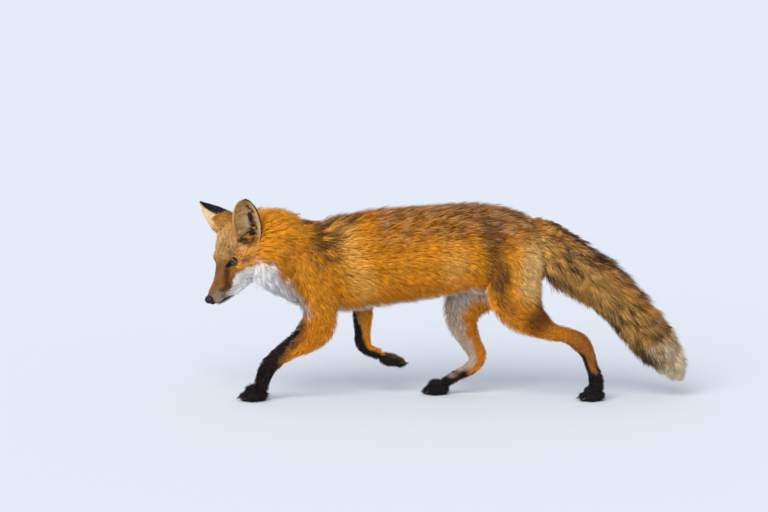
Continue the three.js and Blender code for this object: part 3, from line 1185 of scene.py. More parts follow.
def _tail_tints(p: Array, on: dict[str, Array]) -> Tints:
    """Brush: golden brown with black streaks, a dark ridge, a dark smudge below, and a cream tip.

    Args:
        p: places in mm.
        on: where they lie on the tail.

    Returns:
        Their colours.
    """
    t, rise = on["t"], on["rise"]
    patch = waves(p * np.array([1, 1.4, 1]), 26, 6)
    streak = waves(on["lie"] * np.array([1.0, 1.0, 3.2]), 12, 66)
    dye = Dye(0.58 * TAN + 0.24 * ORANGE, len(p))
    dye.lay(BROWN, 0.4 * smooth(-0.3, 0.9, patch))
    base = smooth(0.7, 0.95, t)
    dye.lay(ORANGE, 0.4 * base)
    upper = smooth(0.35, 0.85, rise)
    dye.lay(RUST, 0.45 * upper)
    ridge = smooth(0.8, 0.95, rise) * bump(t, 0.66, 0.34)
    dye.lay(DUSK, 0.85 * ridge)
    lower = smooth(-0.35, -0.8, rise)
    dye.lay(0.8 * TAN + 0.15 * ORANGE, 0.6 * lower)
    gold = smooth(-0.15, -0.8, streak) * (1 - ridge)
    dye.lay(GOLD, 0.36 * gold)
    black = smooth(0.15, 0.65, streak) * smooth(0.96, 0.8, t)
    dye.lay(0.22 * BROWN + 0.3 * DUSK, 0.85 * black)
    smudge = bump(t, 0.25, 0.13) * smooth(-0.35, -0.8, rise)
    dye.lay(DUSK, 0.9 * smudge)
    end = smooth(0.34, 0.14, t + 0.06 * patch + 0.04 * streak) * (1 - smudge)
    dye.lay(CREAM, end)
    tip = mix(dye.colour, TAN, 0.3 * (1 - end))
    dark = 0.18 + 0.55 * black + 0.12 * smooth(-0.2, 0.7, patch) - 0.1 * base - 0.08 * lower
    dark = np.clip((dark + 0.4 * smudge + 0.4 * ridge) * (1 - 0.75 * end), 0, 0.9)
    return Tints(dye.colour, tip, 0.14 * (1 - end), dark)


class LegMarkings:
    """Legs: orange outside, paler inside, and black down the front to the feet.

    `front` is 1 on a leg's front and -1 behind, and `outer` is 1 outside and -1 inside.
    """

    def __init__(self, part: Part, p: Array, on: dict[str, Array]) -> None:
        """Lays the leg's own markings over its plain orange.

        Args:
            part: which leg.
            p: places on it, in mm.
            on: where they lie on the leg, from Limb.locate.
        """
        self.points = p
        self.t, self.front = on["t"], on["rise"]
        self.outer = on["aside"] * (1 if part in (Part.HIND_RIGHT, Part.FORE_RIGHT) else -1)
        self.ragged = 0.12 * waves(p, 11, 8)
        self.dark = np.full(len(p), 0.06)
        self.dye = Dye(ORANGE, len(p))
        self.dye.lay(DEEP_ORANGE, smooth(0.15, 0.5, self.t) * 0.6)
        own = {
            Part.HIND_LEFT: self._near_hind,
            Part.HIND_RIGHT: self._far_hind,
            Part.FORE_LEFT: self._near_fore,
            Part.FORE_RIGHT: self._far_fore,
        }
        own[part]()

    def tints(self) -> Tints:
        """The leg's colours, with a few pale tips where they are warm.

        Returns:
            The colours at the leg's places.
        """
        warm = smooth(*WARM_RED, self.dye.colour[:, 0])
        tip = mix(self.dye.colour, PALE_ORANGE, 0.16 * warm)
        return Tints(self.dye.colour, tip, 0.07 * warm, self.dark)

    def _near_hind(self) -> None:
        """A pale hip, a painted shadow before the thigh, a rusty shank, and a black stripe to a black foot.
        """
        x, _, z = self.points.T
        dye = self.dye
        dye.lay(PALE_ORANGE, 0.92 * near_line(x, z, (186, 320), (180, 232), 50))
        dye.lay(0.42 * RUST, 0.92 * near_line(x, z, (204, 182), (186, 160), 44))
        low = smooth(0.42, 0.66, self.t)
        dye.lay(0.34 * RUST + 0.34 * BROWN + 0.06 * TAN, 0.72 * low)
        self.dark += 0.25 * low
        # Painted shadow in the crease before the thigh and down the thigh's front.
        shadow = near_line(x, z, *THIGH_LINE, 34) + 0.5 * near_line(x, z, (96, 240), (130, 190), 26)
        shadow = np.clip(shadow, 0, 1)
        dye.lay(0.62 * BROWN, 0.84 * shadow)
        self.dark += 0.42 * shadow
        stripe = smooth(0.25, 0.65, self.front + self.ragged) * smooth(0.66, 0.74, self.t)
        foot = smooth(66, 44, z + 60 * self.ragged)
        back = smooth(-0.35, -0.8, self.front) * smooth(96, 60, z)
        dye.lay(BLACK, np.clip(stripe + foot + back, 0, 1))
        inner = smooth(0.0, -0.6, self.outer) * smooth(0.62, 0.5, self.t)
        dye.lay(CREAM, 0.7 * inner)

    def _far_hind(self) -> None:
        """A silvery inner face down to a black foot, and a painted shadow before the thigh."""
        x, _, z = self.points.T
        inner = smooth(0.5, -0.1, self.outer) * smooth(-0.28, 0.08, self.front + self.ragged)
        pale = inner * smooth(22, 44, z)
        grey = mix(0.3 * TAN + 0.6 * SILVER, SILVER, smooth(0.25, 0.0, self.t - 0.2))
        self.dye.lay(0.7 * DEEP_ORANGE + 0.2 * BROWN, 0.5 * smooth(0.4, 0.55, self.t))
        self.dye.lay(grey, 0.95 * pale)
        self.dye.lay(BLACK, smooth(54, 32, z + 60 * self.ragged))
        # Painted shadow where the thigh meets the flank.
        shadow = near_line(x, z, *THIGH_LINE, 34) * smooth(0.0, 0.5, self.outer)
        self.dye.lay(BROWN, 0.6 * shadow)

    def _near_fore(self) -> None:
        """Black that widens down the front, a white bib above it, and the dark withers' end."""
        x, _, z = self.points.T
        dye, front, t = self.dye, self.front, self.t
        reach = np.interp(t, *NEAR_FORE_BLACK)
        edge = smooth(-0.12, 0.3, front + 1.4 * self.ragged - reach) * smooth(0.34, 0.46, t)
        grizzle = smooth(-0.75, -0.1, front - reach) * smooth(0.36, 0.48, t)
        dye.lay(0.5 * BROWN + 0.2 * DUSK, 0.72 * grizzle)
        dye.lay(BLACK, edge)
        chest = smooth(0.35, 0.8, front) * smooth(0.5, 0.3, t)
        dye.lay(RUST, 0.4 * chest)
        clumps = smooth(-0.5, 0.2, waves(self.points, 7, 9) + 0.2)
        bib = near_line(x, z, (-298, 208), (-276, 182), 20) * clumps
        dye.lay(0.85 * WHITE, 0.85 * bib)
        flecks = smooth(-0.9, -0.1, front - reach) * smooth(0.38, 0.5, t)
        self.dark += 0.25 * chest + 0.3 * bib + 0.45 * flecks
        dye.lay(0.78 * MAHOGANY, 0.94 * withers(self.points))
        inner = smooth(0.0, -0.7, self.outer) * smooth(0.45, 0.3, t)
        dye.lay(CREAM, 0.6 * inner)

    def _far_fore(self) -> None:
        """Black down the front and over the lifted foot."""
        front, t = self.front, self.t
        reach = np.interp(t, *FAR_FORE_BLACK)
        edge = smooth(-0.12, 0.3, front + self.ragged - reach) * smooth(0.32, 0.42, t)
        inner = smooth(0.1, -0.6, self.outer) * smooth(0.75, 0.6, t)
        self.dye.lay(0.6 * TAN + 0.2 * BROWN, 0.5 * inner * smooth(-0.6, 0.2, front))
        self.dye.lay(BLACK, edge)
        self.dark += 0.35 * smooth(-0.9, -0.1, front - reach) * smooth(0.3, 0.4, t)
        foot = smooth(-122, -108, self.points[:, 0]) * smooth(0.5, 0.9, t)
        self.dye.lay(BLACK, 0.85 * foot)


def mouth_line(f: Array) -> Array:
    """How high the mouth's line is, in the head's frame: it falls by 0.45 backwards from the chin."""
    return -43.0 - 0.45 * (75.0 - f)


def _head_tints(p: Array, on: dict[str, Array]) -> Tints:
    """Head: tan crown, white cheeks, lips and chin, a dark patch from eye to whiskers, dark lids.

    Args:
        p: places in mm.
        on: where they lie on the head.

    Returns:
        Their colours.
    """
    f, side, up = in_head(p).T
    left = np.abs(side)
    wander = waves(p, 8, 11)
    dye = Dye(0.45 * TAN + 0.55 * ORANGE, len(p))
    crown = smooth(4, 22, up) * smooth(-66, -40, f) * smooth(46, 34, left)
    fleck = smooth(0.1, 0.9, waves(on["lie"] * np.array([1.0, 1.0, 2.5]), 5, 12))
    dye.lay(0.52 * TAN + 0.12 * RUST, 0.75 * crown)
    dye.lay(0.75 * CREAM, 0.4 * crown * fleck)
    bridge = smooth(2, 20, f) * smooth(-38, -26, up)
    dye.lay(0.08 * TAN + 0.2 * RUST + 0.22 * BROWN, 0.85 * bridge)
    brow = near_line(f, up, (12, 9), (-6, 13), 9) * smooth(8, 15, left)
    dye.lay(0.1 * TAN + 0.2 * RUST + 0.2 * BROWN, 0.6 * brow)
    behind = smooth(-14, -44, f) * smooth(-14, 4, up) * (1 - 0.7 * crown)
    dye.lay(0.85 * ORANGE, 0.75 * behind)
    below = near_line(f, up, (12, -8), (34, -24), 9) * smooth(10, 16, left)
    dye.lay(0.8 * DEEP_ORANGE, 0.8 * below)
    # White from the lips, under the eye, back to the ruff.
    edge = np.interp(f, *CHEEK_EDGE)
    white = smooth(3.0, -3.0, up - edge + 2.2 * wander) * smooth(-118, -86, f)
    dye.lay(WHITE, white)
    snout = smooth(46, 58, f) * smooth(4, 8, left) * smooth(-17, -23, up)
    dye.lay(0.3 * SILVER + 0.06 * TAN, 0.8 * snout)
    # A brown stripe runs from the inner corner of the eye down to the dark whisker patch.
    stripe = near_line(f, up, (20, -6), (37, -23), 10) * smooth(7, 13, left)
    dye.lay(0.12 * BROWN + 0.36 * MAHOGANY, 0.92 * stripe)
    round_whiskers = np.hypot((f - 45) / 14.5, (up + 31 - 0.3 * (f - 45)) / 8)
    patch = smooth(1.35, 0.5, round_whiskers + 0.16 * wander)
    dye.lay(0.6 * DUSK + 0.05 * SILVER, 0.9 * patch * smooth(7, 12, left))
    # The eye's black rims, and a rusty streak behind the outer corner.
    round_eye = np.hypot((f - 5.0) / 12.2, (up - 1.2 - 0.08 * (5.0 - f)) / 5.4)
    rim = smooth(1.15, 0.88, round_eye) * smooth(13, 17, left)
    dye.lay(BLACK, rim)
    streak = near_line(f, up, (-12, -8), (-32, -12), 9) * smooth(24, 32, left)
    dye.lay(0.8 * RUST, 0.7 * streak)
    # Lips.
    gap = up - mouth_line(f)
    lips = smooth(3.0, 1.6, np.abs(gap - 0.2)) * smooth(38, 46, f) * smooth(-2, 2, left)
    dye.lay(BLACK, 0.95 * lips)
    dye.lay(BLACK, smooth(77, 82, f))
    warm = (1 - white) * smooth(*WARM_RED, dye.colour[:, 0])
    tip = mix(dye.colour, CREAM, (0.26 - 0.16 * bridge) * warm)
    return Tints(dye.colour, tip, 0.16 * warm + 0.12 * snout, 0.14 * warm + 0.12 * patch + 0.2 * snout)


# ---- skin ------------------------------------------------------------------------------------
@dataclass(frozen=True)
class Foot:
    """A foot: a pad and four toes, each with a claw, set at the ball of the foot."""

    name: str
    ball: Triple
    toes: Triple
    sole: Triple
    size: float = 1.0
    arch: bool = True  # whether the leg comes down on it
    spread: tuple[Pair, ...] = ((12, -15), (23, -5.6), (23, 5.6), (12, 15))

    def axes(self) -> Array:
        """Forward, left and up of the foot, as rows.

        Returns:
            Three rows.
        """
        forward = unit(np.array(self.toes, dtype=float))
        up = -np.array(self.sole, dtype=float)
        up = unit(up - forward * (up @ forward))
        return np.stack([forward, np.cross(up, forward), up])

    def _set(self, shell: Shell, at: Triple) -> Shell:
        """A shell of the foot's own frame, moved to a place on the foot."""
        local = Shell((shell.points + np.array(at)) * self.size, shell.faces)
        return local.moved(self.axes(), np.array(self.ball))

    def flesh(self) -> list[Shell]:
        """The pad and the toes, ellipsoids that a standing foot keeps just clear of the floor.

        Returns:
            One shell for the pad and one for each toe.
        """
        made = [self._set(ellipsoid((18, 16.5, 11)), (0, 0, 2.5))]
        if self.arch:
            made.append(self._set(ellipsoid((17, 11, 13)), (9, 0, 10)))
        for forward, aside in self.spread:
            made.append(self._set(ellipsoid((12.5, 6.9, 8.2)), (forward, aside, -0.2)))
            made.append(self._set(ellipsoid((11, 5.6, 7)), (forward - 9, aside * 0.8, 1.5)))
        return made

    def pads(self) -> list[Shell]:
        """The bare pads under the foot: flattened ellipsoids, one behind and one for each toe.

        Returns:
            One shell for each pad.
        """
        made = [self._set(ellipsoid((9.5, 11, 4)), (-2, 0, -5.4))]
        for forward, aside in self.spread:
            made.append(self._set(ellipsoid((6.2, 4.4, 3.4)), (forward + 1.5, aside, -5.9)))
        return made

    def claws(self) -> list[Shell]:
        """The claws: a circle that shrinks as it travels forward and curves down.

        Returns:
            One shell for each claw.
        """
        s = np.linspace(0, 1, 9)[:, None]
        angle = np.linspace(0, 2 * math.pi, 10, endpoint=False)[None, :]
        radius = 1.9 * (1 - s) ** 0.7 + 0.12
        x = 11.5 * s + 0 * angle
        y = 0.7 * radius * np.cos(angle)
        z = radius * np.sin(angle) - 4.2 * s**2
        horn = closed_grid(np.stack([x, y, z], -1))
        return [self._set(horn, (forward + 9.5, aside, -1.2)) for forward, aside in self.spread]


FEET = (
    Foot("hindleg_left", (304, -36, 9), (-1, -0.1, 0), (0, 0, -1), 0.94),
    Foot("hindleg_right", (-6, 36, 9), (-1, 0.12, 0), (0, 0, -1), 0.94),
    Foot("foreleg_left", (-372, -35, 9.5), (-1, -0.1, 0), (0, 0, -1)),
    Foot("foreleg_right", (-112, 40, 74), (0.93, 0.05, -0.36), (0.36, 0, 0.93), 1.0, False),
)

LIFTED_FOOT = FEET[3]

EYE_FORWARD, EYE_ASIDE, EYE_UP, EYE_RADIUS = -1.0, 26.0, 0.5, 9.0
EAR_HOLLOW = 19.0  # mm that the skin is pressed in at the foot of an ear


def from_lifted_foot(points: Array) -> Array:
    """How far points are from the ball of the foot that is off the floor, in mm."""
    return np.linalg.norm(points - np.array(LIFTED_FOOT.ball), axis=1)


def eye_axes(side: Side) -> tuple[Array, Array]:
    """An eye's gaze, width and height as rows, and its centre.

    Args:
        side: which eye.

    Returns:
        The axes and the centre.
    """
    sign = side.value
    gaze = unit(np.array([0.52, sign * 0.84, 0.08]))
    tilt = np.array([0.86, -sign * 0.36, -0.1])
    width = unit(tilt - gaze * (tilt @ gaze))
    axes = np.stack([gaze, width, np.cross(gaze, width) * sign])
    if axes[2, 2] < 0:
        axes[2] = -axes[2]
    centre = np.array([EYE_FORWARD, sign * EYE_ASIDE, EYE_UP])
    return axes @ HEAD_AXES, centre @ HEAD_AXES + HEAD_AT


# The face's bones and pads: where each is in the head's frame, on the left, and its reaches.
FACE_BONES = (
    ((-3.5, 20.5, 10.5), (14, 6.5, 5.5)),  # brow
    ((-12, 30, -13), (19, 8, 9)),  # cheekbone
    ((66, 7.5, -38), (13, 6.5, 8)),  # whisker pad
    ((16, 14, -12), (14, 6, 8)),  # side of the muzzle's root
)


@dataclass
class Skin:
    """The one skin of flesh and face, under the whole coat."""

    voxel: float = 1.7
    kept: float = 0.42  # share of the trunk's faces that is kept
    points: Array = field(default_factory=lambda: np.zeros((0, 3)))
    normals: Array = field(default_factory=lambda: np.zeros((0, 3)))
    triangles: Array = field(default_factory=lambda: np.zeros((0, 3), dtype=int))

    def forms(self) -> list[Shell]:
        """The closed forms that the skin wraps: the limbs, the feet, and the face's bones.

        Returns:
            The forms, in mm.
        """
        made = [limb.skin(90, 64) for limb in LIMBS]
        for foot in FEET:
            made += foot.flesh()
        for side in Side:
            for (f, left, up), reach in FACE_BONES:
                at = np.array([f, side.value * left, up]) @ HEAD_AXES + HEAD_AT
                made.append(ellipsoid(reach).moved(HEAD_AXES, at))
        return made

    def build(self) -> bpy.types.Object:
        """Wraps the forms in one closed surface, relaxes it, carves the face and thins the trunk.

        Returns:
            The skin.
        """
        holder = self._wrap(joined(self.forms()))
        points, edges = self._read(holder)
        points = self._relax(points, edges)
        points = self._carve(points)
        holder.data.vertices.foreach_set("co", points.astype(np.float32).ravel())
        self._thin(holder, points)
        mesh = holder.data
        count = len(mesh.vertices)
        mesh.calc_loop_triangles()
        self.points = self._get(mesh.vertices, "co", count)
        self.normals = self._get(mesh.vertex_normals, "vector", count)
        tris = np.zeros(len(mesh.loop_triangles) * 3, dtype=np.int32)
        mesh.loop_triangles.foreach_get("vertices", tris)
        self.triangles = tris.reshape(-1, 3)
        bpy.data.objects.remove(holder)
        made = make_object("skin", Shell(self.points, self.triangles), SkinFinish().material())
        spot = locate(self.points)
        tints = markings_and_shade(spot)
        # Painted shade: the skin is up to 0.3 darker where the coat over it is deep, as if shaded by the
        # hair.
        painted_shade = 1 - 0.3 * smooth(4, 12, spot.weighed("depth"))
        add_colours(made, "tint", tints.middle * painted_shade[:, None])
        add_vectors(made, "lie", spot.take("lie"))
        return made

    @staticmethod
    def _get(collection: object, key: str, count: int) -> Array:
        """Reads vectors out of a mesh.

        Args:
            collection: the points or their normals.
            key: what is read.
            count: how many.

        Returns:
            One row for each.
        """
        values = np.zeros(count * 3, dtype=np.float32)
        collection.foreach_get(key, values)
        return values.reshape(-1, 3).astype(float)

    def _wrap(self, shell: Shell) -> bpy.types.Object:
        """One voxel surface round all the forms, held in mm by a scratch object.

        Args:
            shell: the forms.

        Returns:
            The scratch object.
        """
        mesh = bpy.data.meshes.new("wrap")
        mesh.from_pydata(shell.points.tolist(), [], shell.faces.tolist())
        holder = bpy.data.objects.new("wrap", mesh)
        bpy.context.scene.collection.objects.link(holder)
        remesh = holder.modifiers.new("wrap", "REMESH")
        remesh.mode = "VOXEL"
        remesh.voxel_size = self.voxel
        self._apply(holder)
        return holder

    @staticmethod
    def _apply(holder: bpy.types.Object) -> None:
        """Keeps what an object's modifiers make of its mesh, and drops them.

        Args:
            holder: the scratch object.
        """
        graph = bpy.context.evaluated_depsgraph_get()
        made = bpy.data.meshes.new_from_object(holder.evaluated_get(graph))
        holder.modifiers.clear()
        holder.data = made

    def _read(self, holder: bpy.types.Object) -> tuple[Array, Array]:
        """The wrap's points and its edges.

        Args:
            holder: the scratch object.

        Returns:
            The points, and two point numbers for each edge.
        """
        mesh = holder.data
        points = self._get(mesh.vertices, "co", len(mesh.vertices))
        edges = np.zeros(len(mesh.edges) * 2, dtype=np.int32)
        mesh.edges.foreach_get("vertices", edges)
        return points, edges.reshape(-1, 2)

    def _relax(self, points: Array, edges: Array, rounds: int = 24) -> Array:
        """Moves each point towards the mean of its neighbours, half way on the body and less on the face.

        Args:
            points: the wrap's points.
            edges: its edges.
            rounds: how often they move.

        Returns:
            The moved points.
        """
        f, side, up = in_head(points).T
        face = smooth(-60, -20, f) * smooth(110, 80, np.hypot(side, up))
        feet = smooth(60, 30, points[:, 2]) + smooth(66, 40, from_lifted_foot(points))
        legs = 0.6 * smooth(190, 130, points[:, 2]) * smooth(-400, -390, points[:, 0])
        pull = (0.5 * (1 - 0.91 * np.clip(face + feet + legs, 0, 1)))[:, None]
        a, b = edges.T
        count = len(points)
        valence = np.bincount(np.concatenate([a, b]), minlength=count)[:, None]
        for _ in range(rounds):
            ends = np.concatenate([points[b], points[a]])
            at = np.concatenate([a, b])
            mean = np.stack([np.bincount(at, ends[:, i], count) for i in range(3)], 1) / valence
            points = points + (mean - points) * pull
        return points

    def _carve(self, points: Array) -> Array:
        """Presses the mouth's line, the furrow above the lip and the ears' hollows into the head.

        The mouth is a valley along a sloping plane, deepest on the plane: its depth falls as
        exp(-(height / 1.5)^2). The furrow is such a valley along the head's middle plane. The feet
        of the ears are pressed towards that plane.

        Args:
            points: the wrap's points.

        Returns:
            The moved points.
        """
        f, side, up = in_head(points).T
        line = up + 44 + 0.17 * (74 - f)
        mouth = np.exp(-((line / 1.5) ** 2)) * smooth(16, 28, f) * smooth(86, 78, f)
        inward = np.stack([0 * f, -np.sign(side) * np.minimum(np.abs(side), 3.0), 0 * f], 1)
        moved = inward * (0.8 * mouth)[:, None]
        furrow = np.exp(-((side / 1.2) ** 2)) * smooth(70, 78, f) * smooth(-30, -36, up)
        moved[:, 0] -= 1.4 * furrow
        hollow = (EAR_HOLLOW * ear_mouths(points, 1.12) * -np.sign(side))[:, None] * HEAD_AXES[1]
        return points + moved @ HEAD_AXES + hollow

    def _thin(self, holder: bpy.types.Object, points: Array) -> None:
        """Drops part of the faces of the trunk, the tail and the upper legs.

        Args:
            holder: the scratch object.
            points: its points.
        """
        keep = smooth(-350, -330, points[:, 0]) * smooth(30, 60, points[:, 2])
        group = holder.vertex_groups.new(name="thin")
        group.add(np.flatnonzero(keep > 0.5).tolist(), 1.0, "REPLACE")
        thin = holder.modifiers.new("thin", "DECIMATE")
        thin.ratio = self.kept
        thin.vertex_group = group.name
        thin.use_collapse_triangulate = True
        self._apply(holder)


# ---- coat ------------------------------------------------------------------------------------
@dataclass(frozen=True)
class Cut:
    """How a region of the coat is cut."""

    name: str
    count: int  # tufts
    rings: int  # rings of a tuft before its tip
    length: float  # times the coat's depth
    least: float  # mm, of the shortest tuft
    width: float  # mm, at the root
    lock: float  # mm, the size of a lock of tufts
    gather: float  # how far the tips of a lock come together
    stray: float  # how far tufts leave the lie
    slot: str = "coat_orange"


@dataclass
class Roots:
    """Where tufts grow and how."""

    points: Array
    normals: Array
    flow: Array
    depth: Array
    ragged: Array  # 0 where the locks lie evenly, 1 where they stand up unevenly
    root: Array = field(default_factory=lambda: np.zeros((0, 3)))
    middle: Array = field(default_factory=lambda: np.zeros((0, 3)))
    tip: Array = field(default_factory=lambda: np.zeros((0, 3)))
    map: Array = field(default_factory=lambda: np.zeros((0, 2)))


def tufts(roots: Roots, cut: Cut, rng: np.random.Generator) -> tuple[Shell, Array, Array]:
    """Closed, tapering blades that rise from the skin and bend over along the lie of the coat.

    At share s of its length a blade's axis is at root + flow * length * s + normal * rise *
    (1 - (1 - s)^2), and the offset from its lock's middle shrinks by gather * s^1.4. Its section is
    a flat triangle whose width goes as (1 - s)^0.75.

    Args:
        roots: where the tufts grow.
        cut: their sizes.
        rng: the source of chance.

    Returns:
        The blades, the colour of each of their points, and its place on the bake map.
    """
    count = len(roots.points)
    warp = np.stack([waves(roots.points, 2.2 * cut.lock, 60 + i) for i in range(3)], 1)
    cells = np.floor((roots.points + 0.35 * cut.lock * warp) / cut.lock).astype(np.int64)
    key = cells @ np.array(CELL_PRIMES)
    _, lock = np.unique(key, return_inverse=True)
    members = np.bincount(lock).astype(float)
    middle = np.stack([np.bincount(lock, roots.points[:, i]) / members for i in range(3)], 1)[lock]
    chance = rng.normal(size=(len(members), 3))[lock]
    across = unit(np.cross(roots.normals, roots.flow))
    turn = cut.stray * (0.55 * chance[:, 0] + 0.6 * rng.normal(size=count)) * (1 + 0.9 * roots.ragged)
    flow = unit(roots.flow + across * turn[:, None])
    length = np.maximum(roots.depth * cut.length, cut.least)
    length = length * np.clip(1 + 0.12 * chance[:, 1] + 0.16 * rng.normal(size=count), 0.55, 1.4)
    uneven = (0.1 + 0.22 * roots.ragged) * chance[:, 2] + 0.14 * rng.normal(size=count)
    rise = roots.depth * np.clip(0.86 + uneven, 0.35, 1.15 + 0.35 * roots.ragged)
    width = cut.width * np.clip(1 + 0.2 * rng.normal(size=count), 0.6, 1.6)
    share = np.linspace(0, 1, cut.rings + 1)
    share[1:-1] **= 1.15
    s = share[None, :, None]
    axis = roots.points[:, None] + flow[:, None] * length[:, None, None] * s
    axis = axis + roots.normals[:, None] * (rise[:, None, None] * (1 - (1 - s) ** 2) - 0.6 * (1 - s))
    axis = axis - (roots.points - middle)[:, None] * cut.gather * s**1.4
    sway = across * (0.1 * length * rng.normal(size=count))[:, None]
    axis = axis + sway[:, None] * (s**2 - s)
    axis[..., 1] = np.clip(axis[..., 1], -SIDE_REACH, SIDE_REACH)
    axis[..., 2] = np.maximum(axis[..., 2], CLEAR)
    along = unit(np.gradient(axis, axis=1))
    edge = unit(np.cross(roots.normals[:, None] + 0 * along, along))
    ridge = np.cross(along, edge)
    half = 0.5 * width[:, None, None] * np.maximum(1 - s, 0.0) ** 0.75
    body = slice(0, cut.rings)
    left = (axis - edge * half)[:, body]
    right = (axis + edge * half)[:, body]
    crest = (axis + ridge * half * 0.7)[:, body]
    rings = np.stack([left, crest, right], axis=2).reshape(count, -1, 3)
    points = np.concatenate([rings, axis[:, -1:]], axis=1)
    per = points.shape[1]
    pattern = _blade_faces(cut.rings)
    faces = (np.arange(count) * per)[:, None, None] + pattern[None]
    shade = share[:, None]
    ramp = np.clip(shade / 0.45, 0, 1)
    late = np.clip((shade - 0.45) / 0.55, 0, 1)
    hue = roots.root[:, None] * (1 - ramp) + roots.middle[:, None] * (ramp - late)
    hue = hue + roots.tip[:, None] * late
    colours = np.concatenate([np.repeat(hue[:, body], 3, axis=1), hue[:, -1:]], axis=1)
    local_x = np.concatenate([np.tile([-0.5, 0.0, 0.5], cut.rings), [0.0]])
    local_y = np.concatenate([np.repeat(share[body], 3), [1.0]]) - 0.5
    places = roots.map[:, None] + PATCH * np.stack([local_x, local_y], -1)[None]
    blades = Shell(points.reshape(-1, 3), faces.reshape(-1, 3))
    return blades, colours.reshape(-1, 3), places.reshape(-1, 2)


def _blade_faces(rings: int) -> Array:
    """The triangles of one blade: its root, its three walls ring by ring, and its tip.

    Args:
        rings: how many rings of three points.

    Returns:
        Three point numbers for each triangle.
    """
    made = [(0, 1, 2)]
    for r in range(rings - 1):
        for k in range(3):
            a, b = 3 * r + k, 3 * r + (k + 1) % 3
            made += [(a, a + 3, b + 3), (a, b + 3, b)]
    top = 3 * (rings - 1)
    for k in range(3):
        made.append((top + k, 3 * rings, top + (k + 1) % 3))
    return np.array(made)


def ear_mouths(points: Array, edge: float) -> Array:
    """1 in the hollow at the foot of either ear, where only short hair grows, and 0 away from it.

    The hollow is an ellipsoid before and above the ear's base, in the ear's own axes.

    Args:
        points: places in mm.
        edge: where the hollow ends, as a share of the ellipsoid's reach.

    Returns:
        One value for each point.
    """
    total = np.zeros(len(points))
    for ear in EARS:
        aside, out, up, _ = ear.axes()
        away = points - np.array(ear.base, float)
        shares = ((away @ aside - 1) / 28, (away @ out - 4) / 26, (away @ up - 13) / 24)
        from_middle = np.sqrt(sum(share**2 for share in shares))
        total = np.maximum(total, smooth(edge, edge - 0.45, from_middle))
    return total


def fullness(spot: Places) -> Array:
    """How much fuller the coat is than its plain depth, on the throat, under the tail and on the cheeks.

    Args:
        spot: places on the skin.

    Returns:
        One factor for each place.
    """
    x, _, z = spot.points.T
    throat = bump(x, -368, 36) * smooth(268, 250, z)
    dip = 0.15 * bump(x, -206, 44) + 0.45 * bump(x, -292, 48)
    under = (spot.part == Part.TAIL) * smooth(-0.1, -0.6, spot.on[Part.TAIL]["rise"])
    fringe = under * (0.4 * bump(x, 206, 40) - 0.5 * bump(x, 316, 84))
    f, side, _ = in_head(spot.points).T
    jowl = bump(f, -48, 36) * smooth(24, 40, np.abs(side)) * (spot.part >= Part.SKULL)
    full = 1 + 0.5 * throat - dip * smooth(334, 352, z) + fringe + 0.45 * jowl
    return full * (1 - 0.9 * ear_mouths(spot.points, 1.25))


def raggedness(spot: Places) -> Array:
    """How unevenly the locks stand: most on the neck's crest, the chest and the tail's edges.

    Args:
        spot: places on the skin.

    Returns:
        From 0, even, to 1, for each place.
    """
    x, _, z = spot.points.T
    crest = bump(x, -280, 90) * smooth(330, 352, z)
    chest = bump(x, -300, 50) * smooth(250, 225, z)
    edges = smooth(0.4, 0.9, np.abs(spot.on[Part.TAIL]["rise"]))
    tail = (spot.part == Part.TAIL) * (0.2 + 0.3 * edges)
    return np.clip(0.15 + 0.85 * crest + 0.6 * chest + tail, 0, 1)


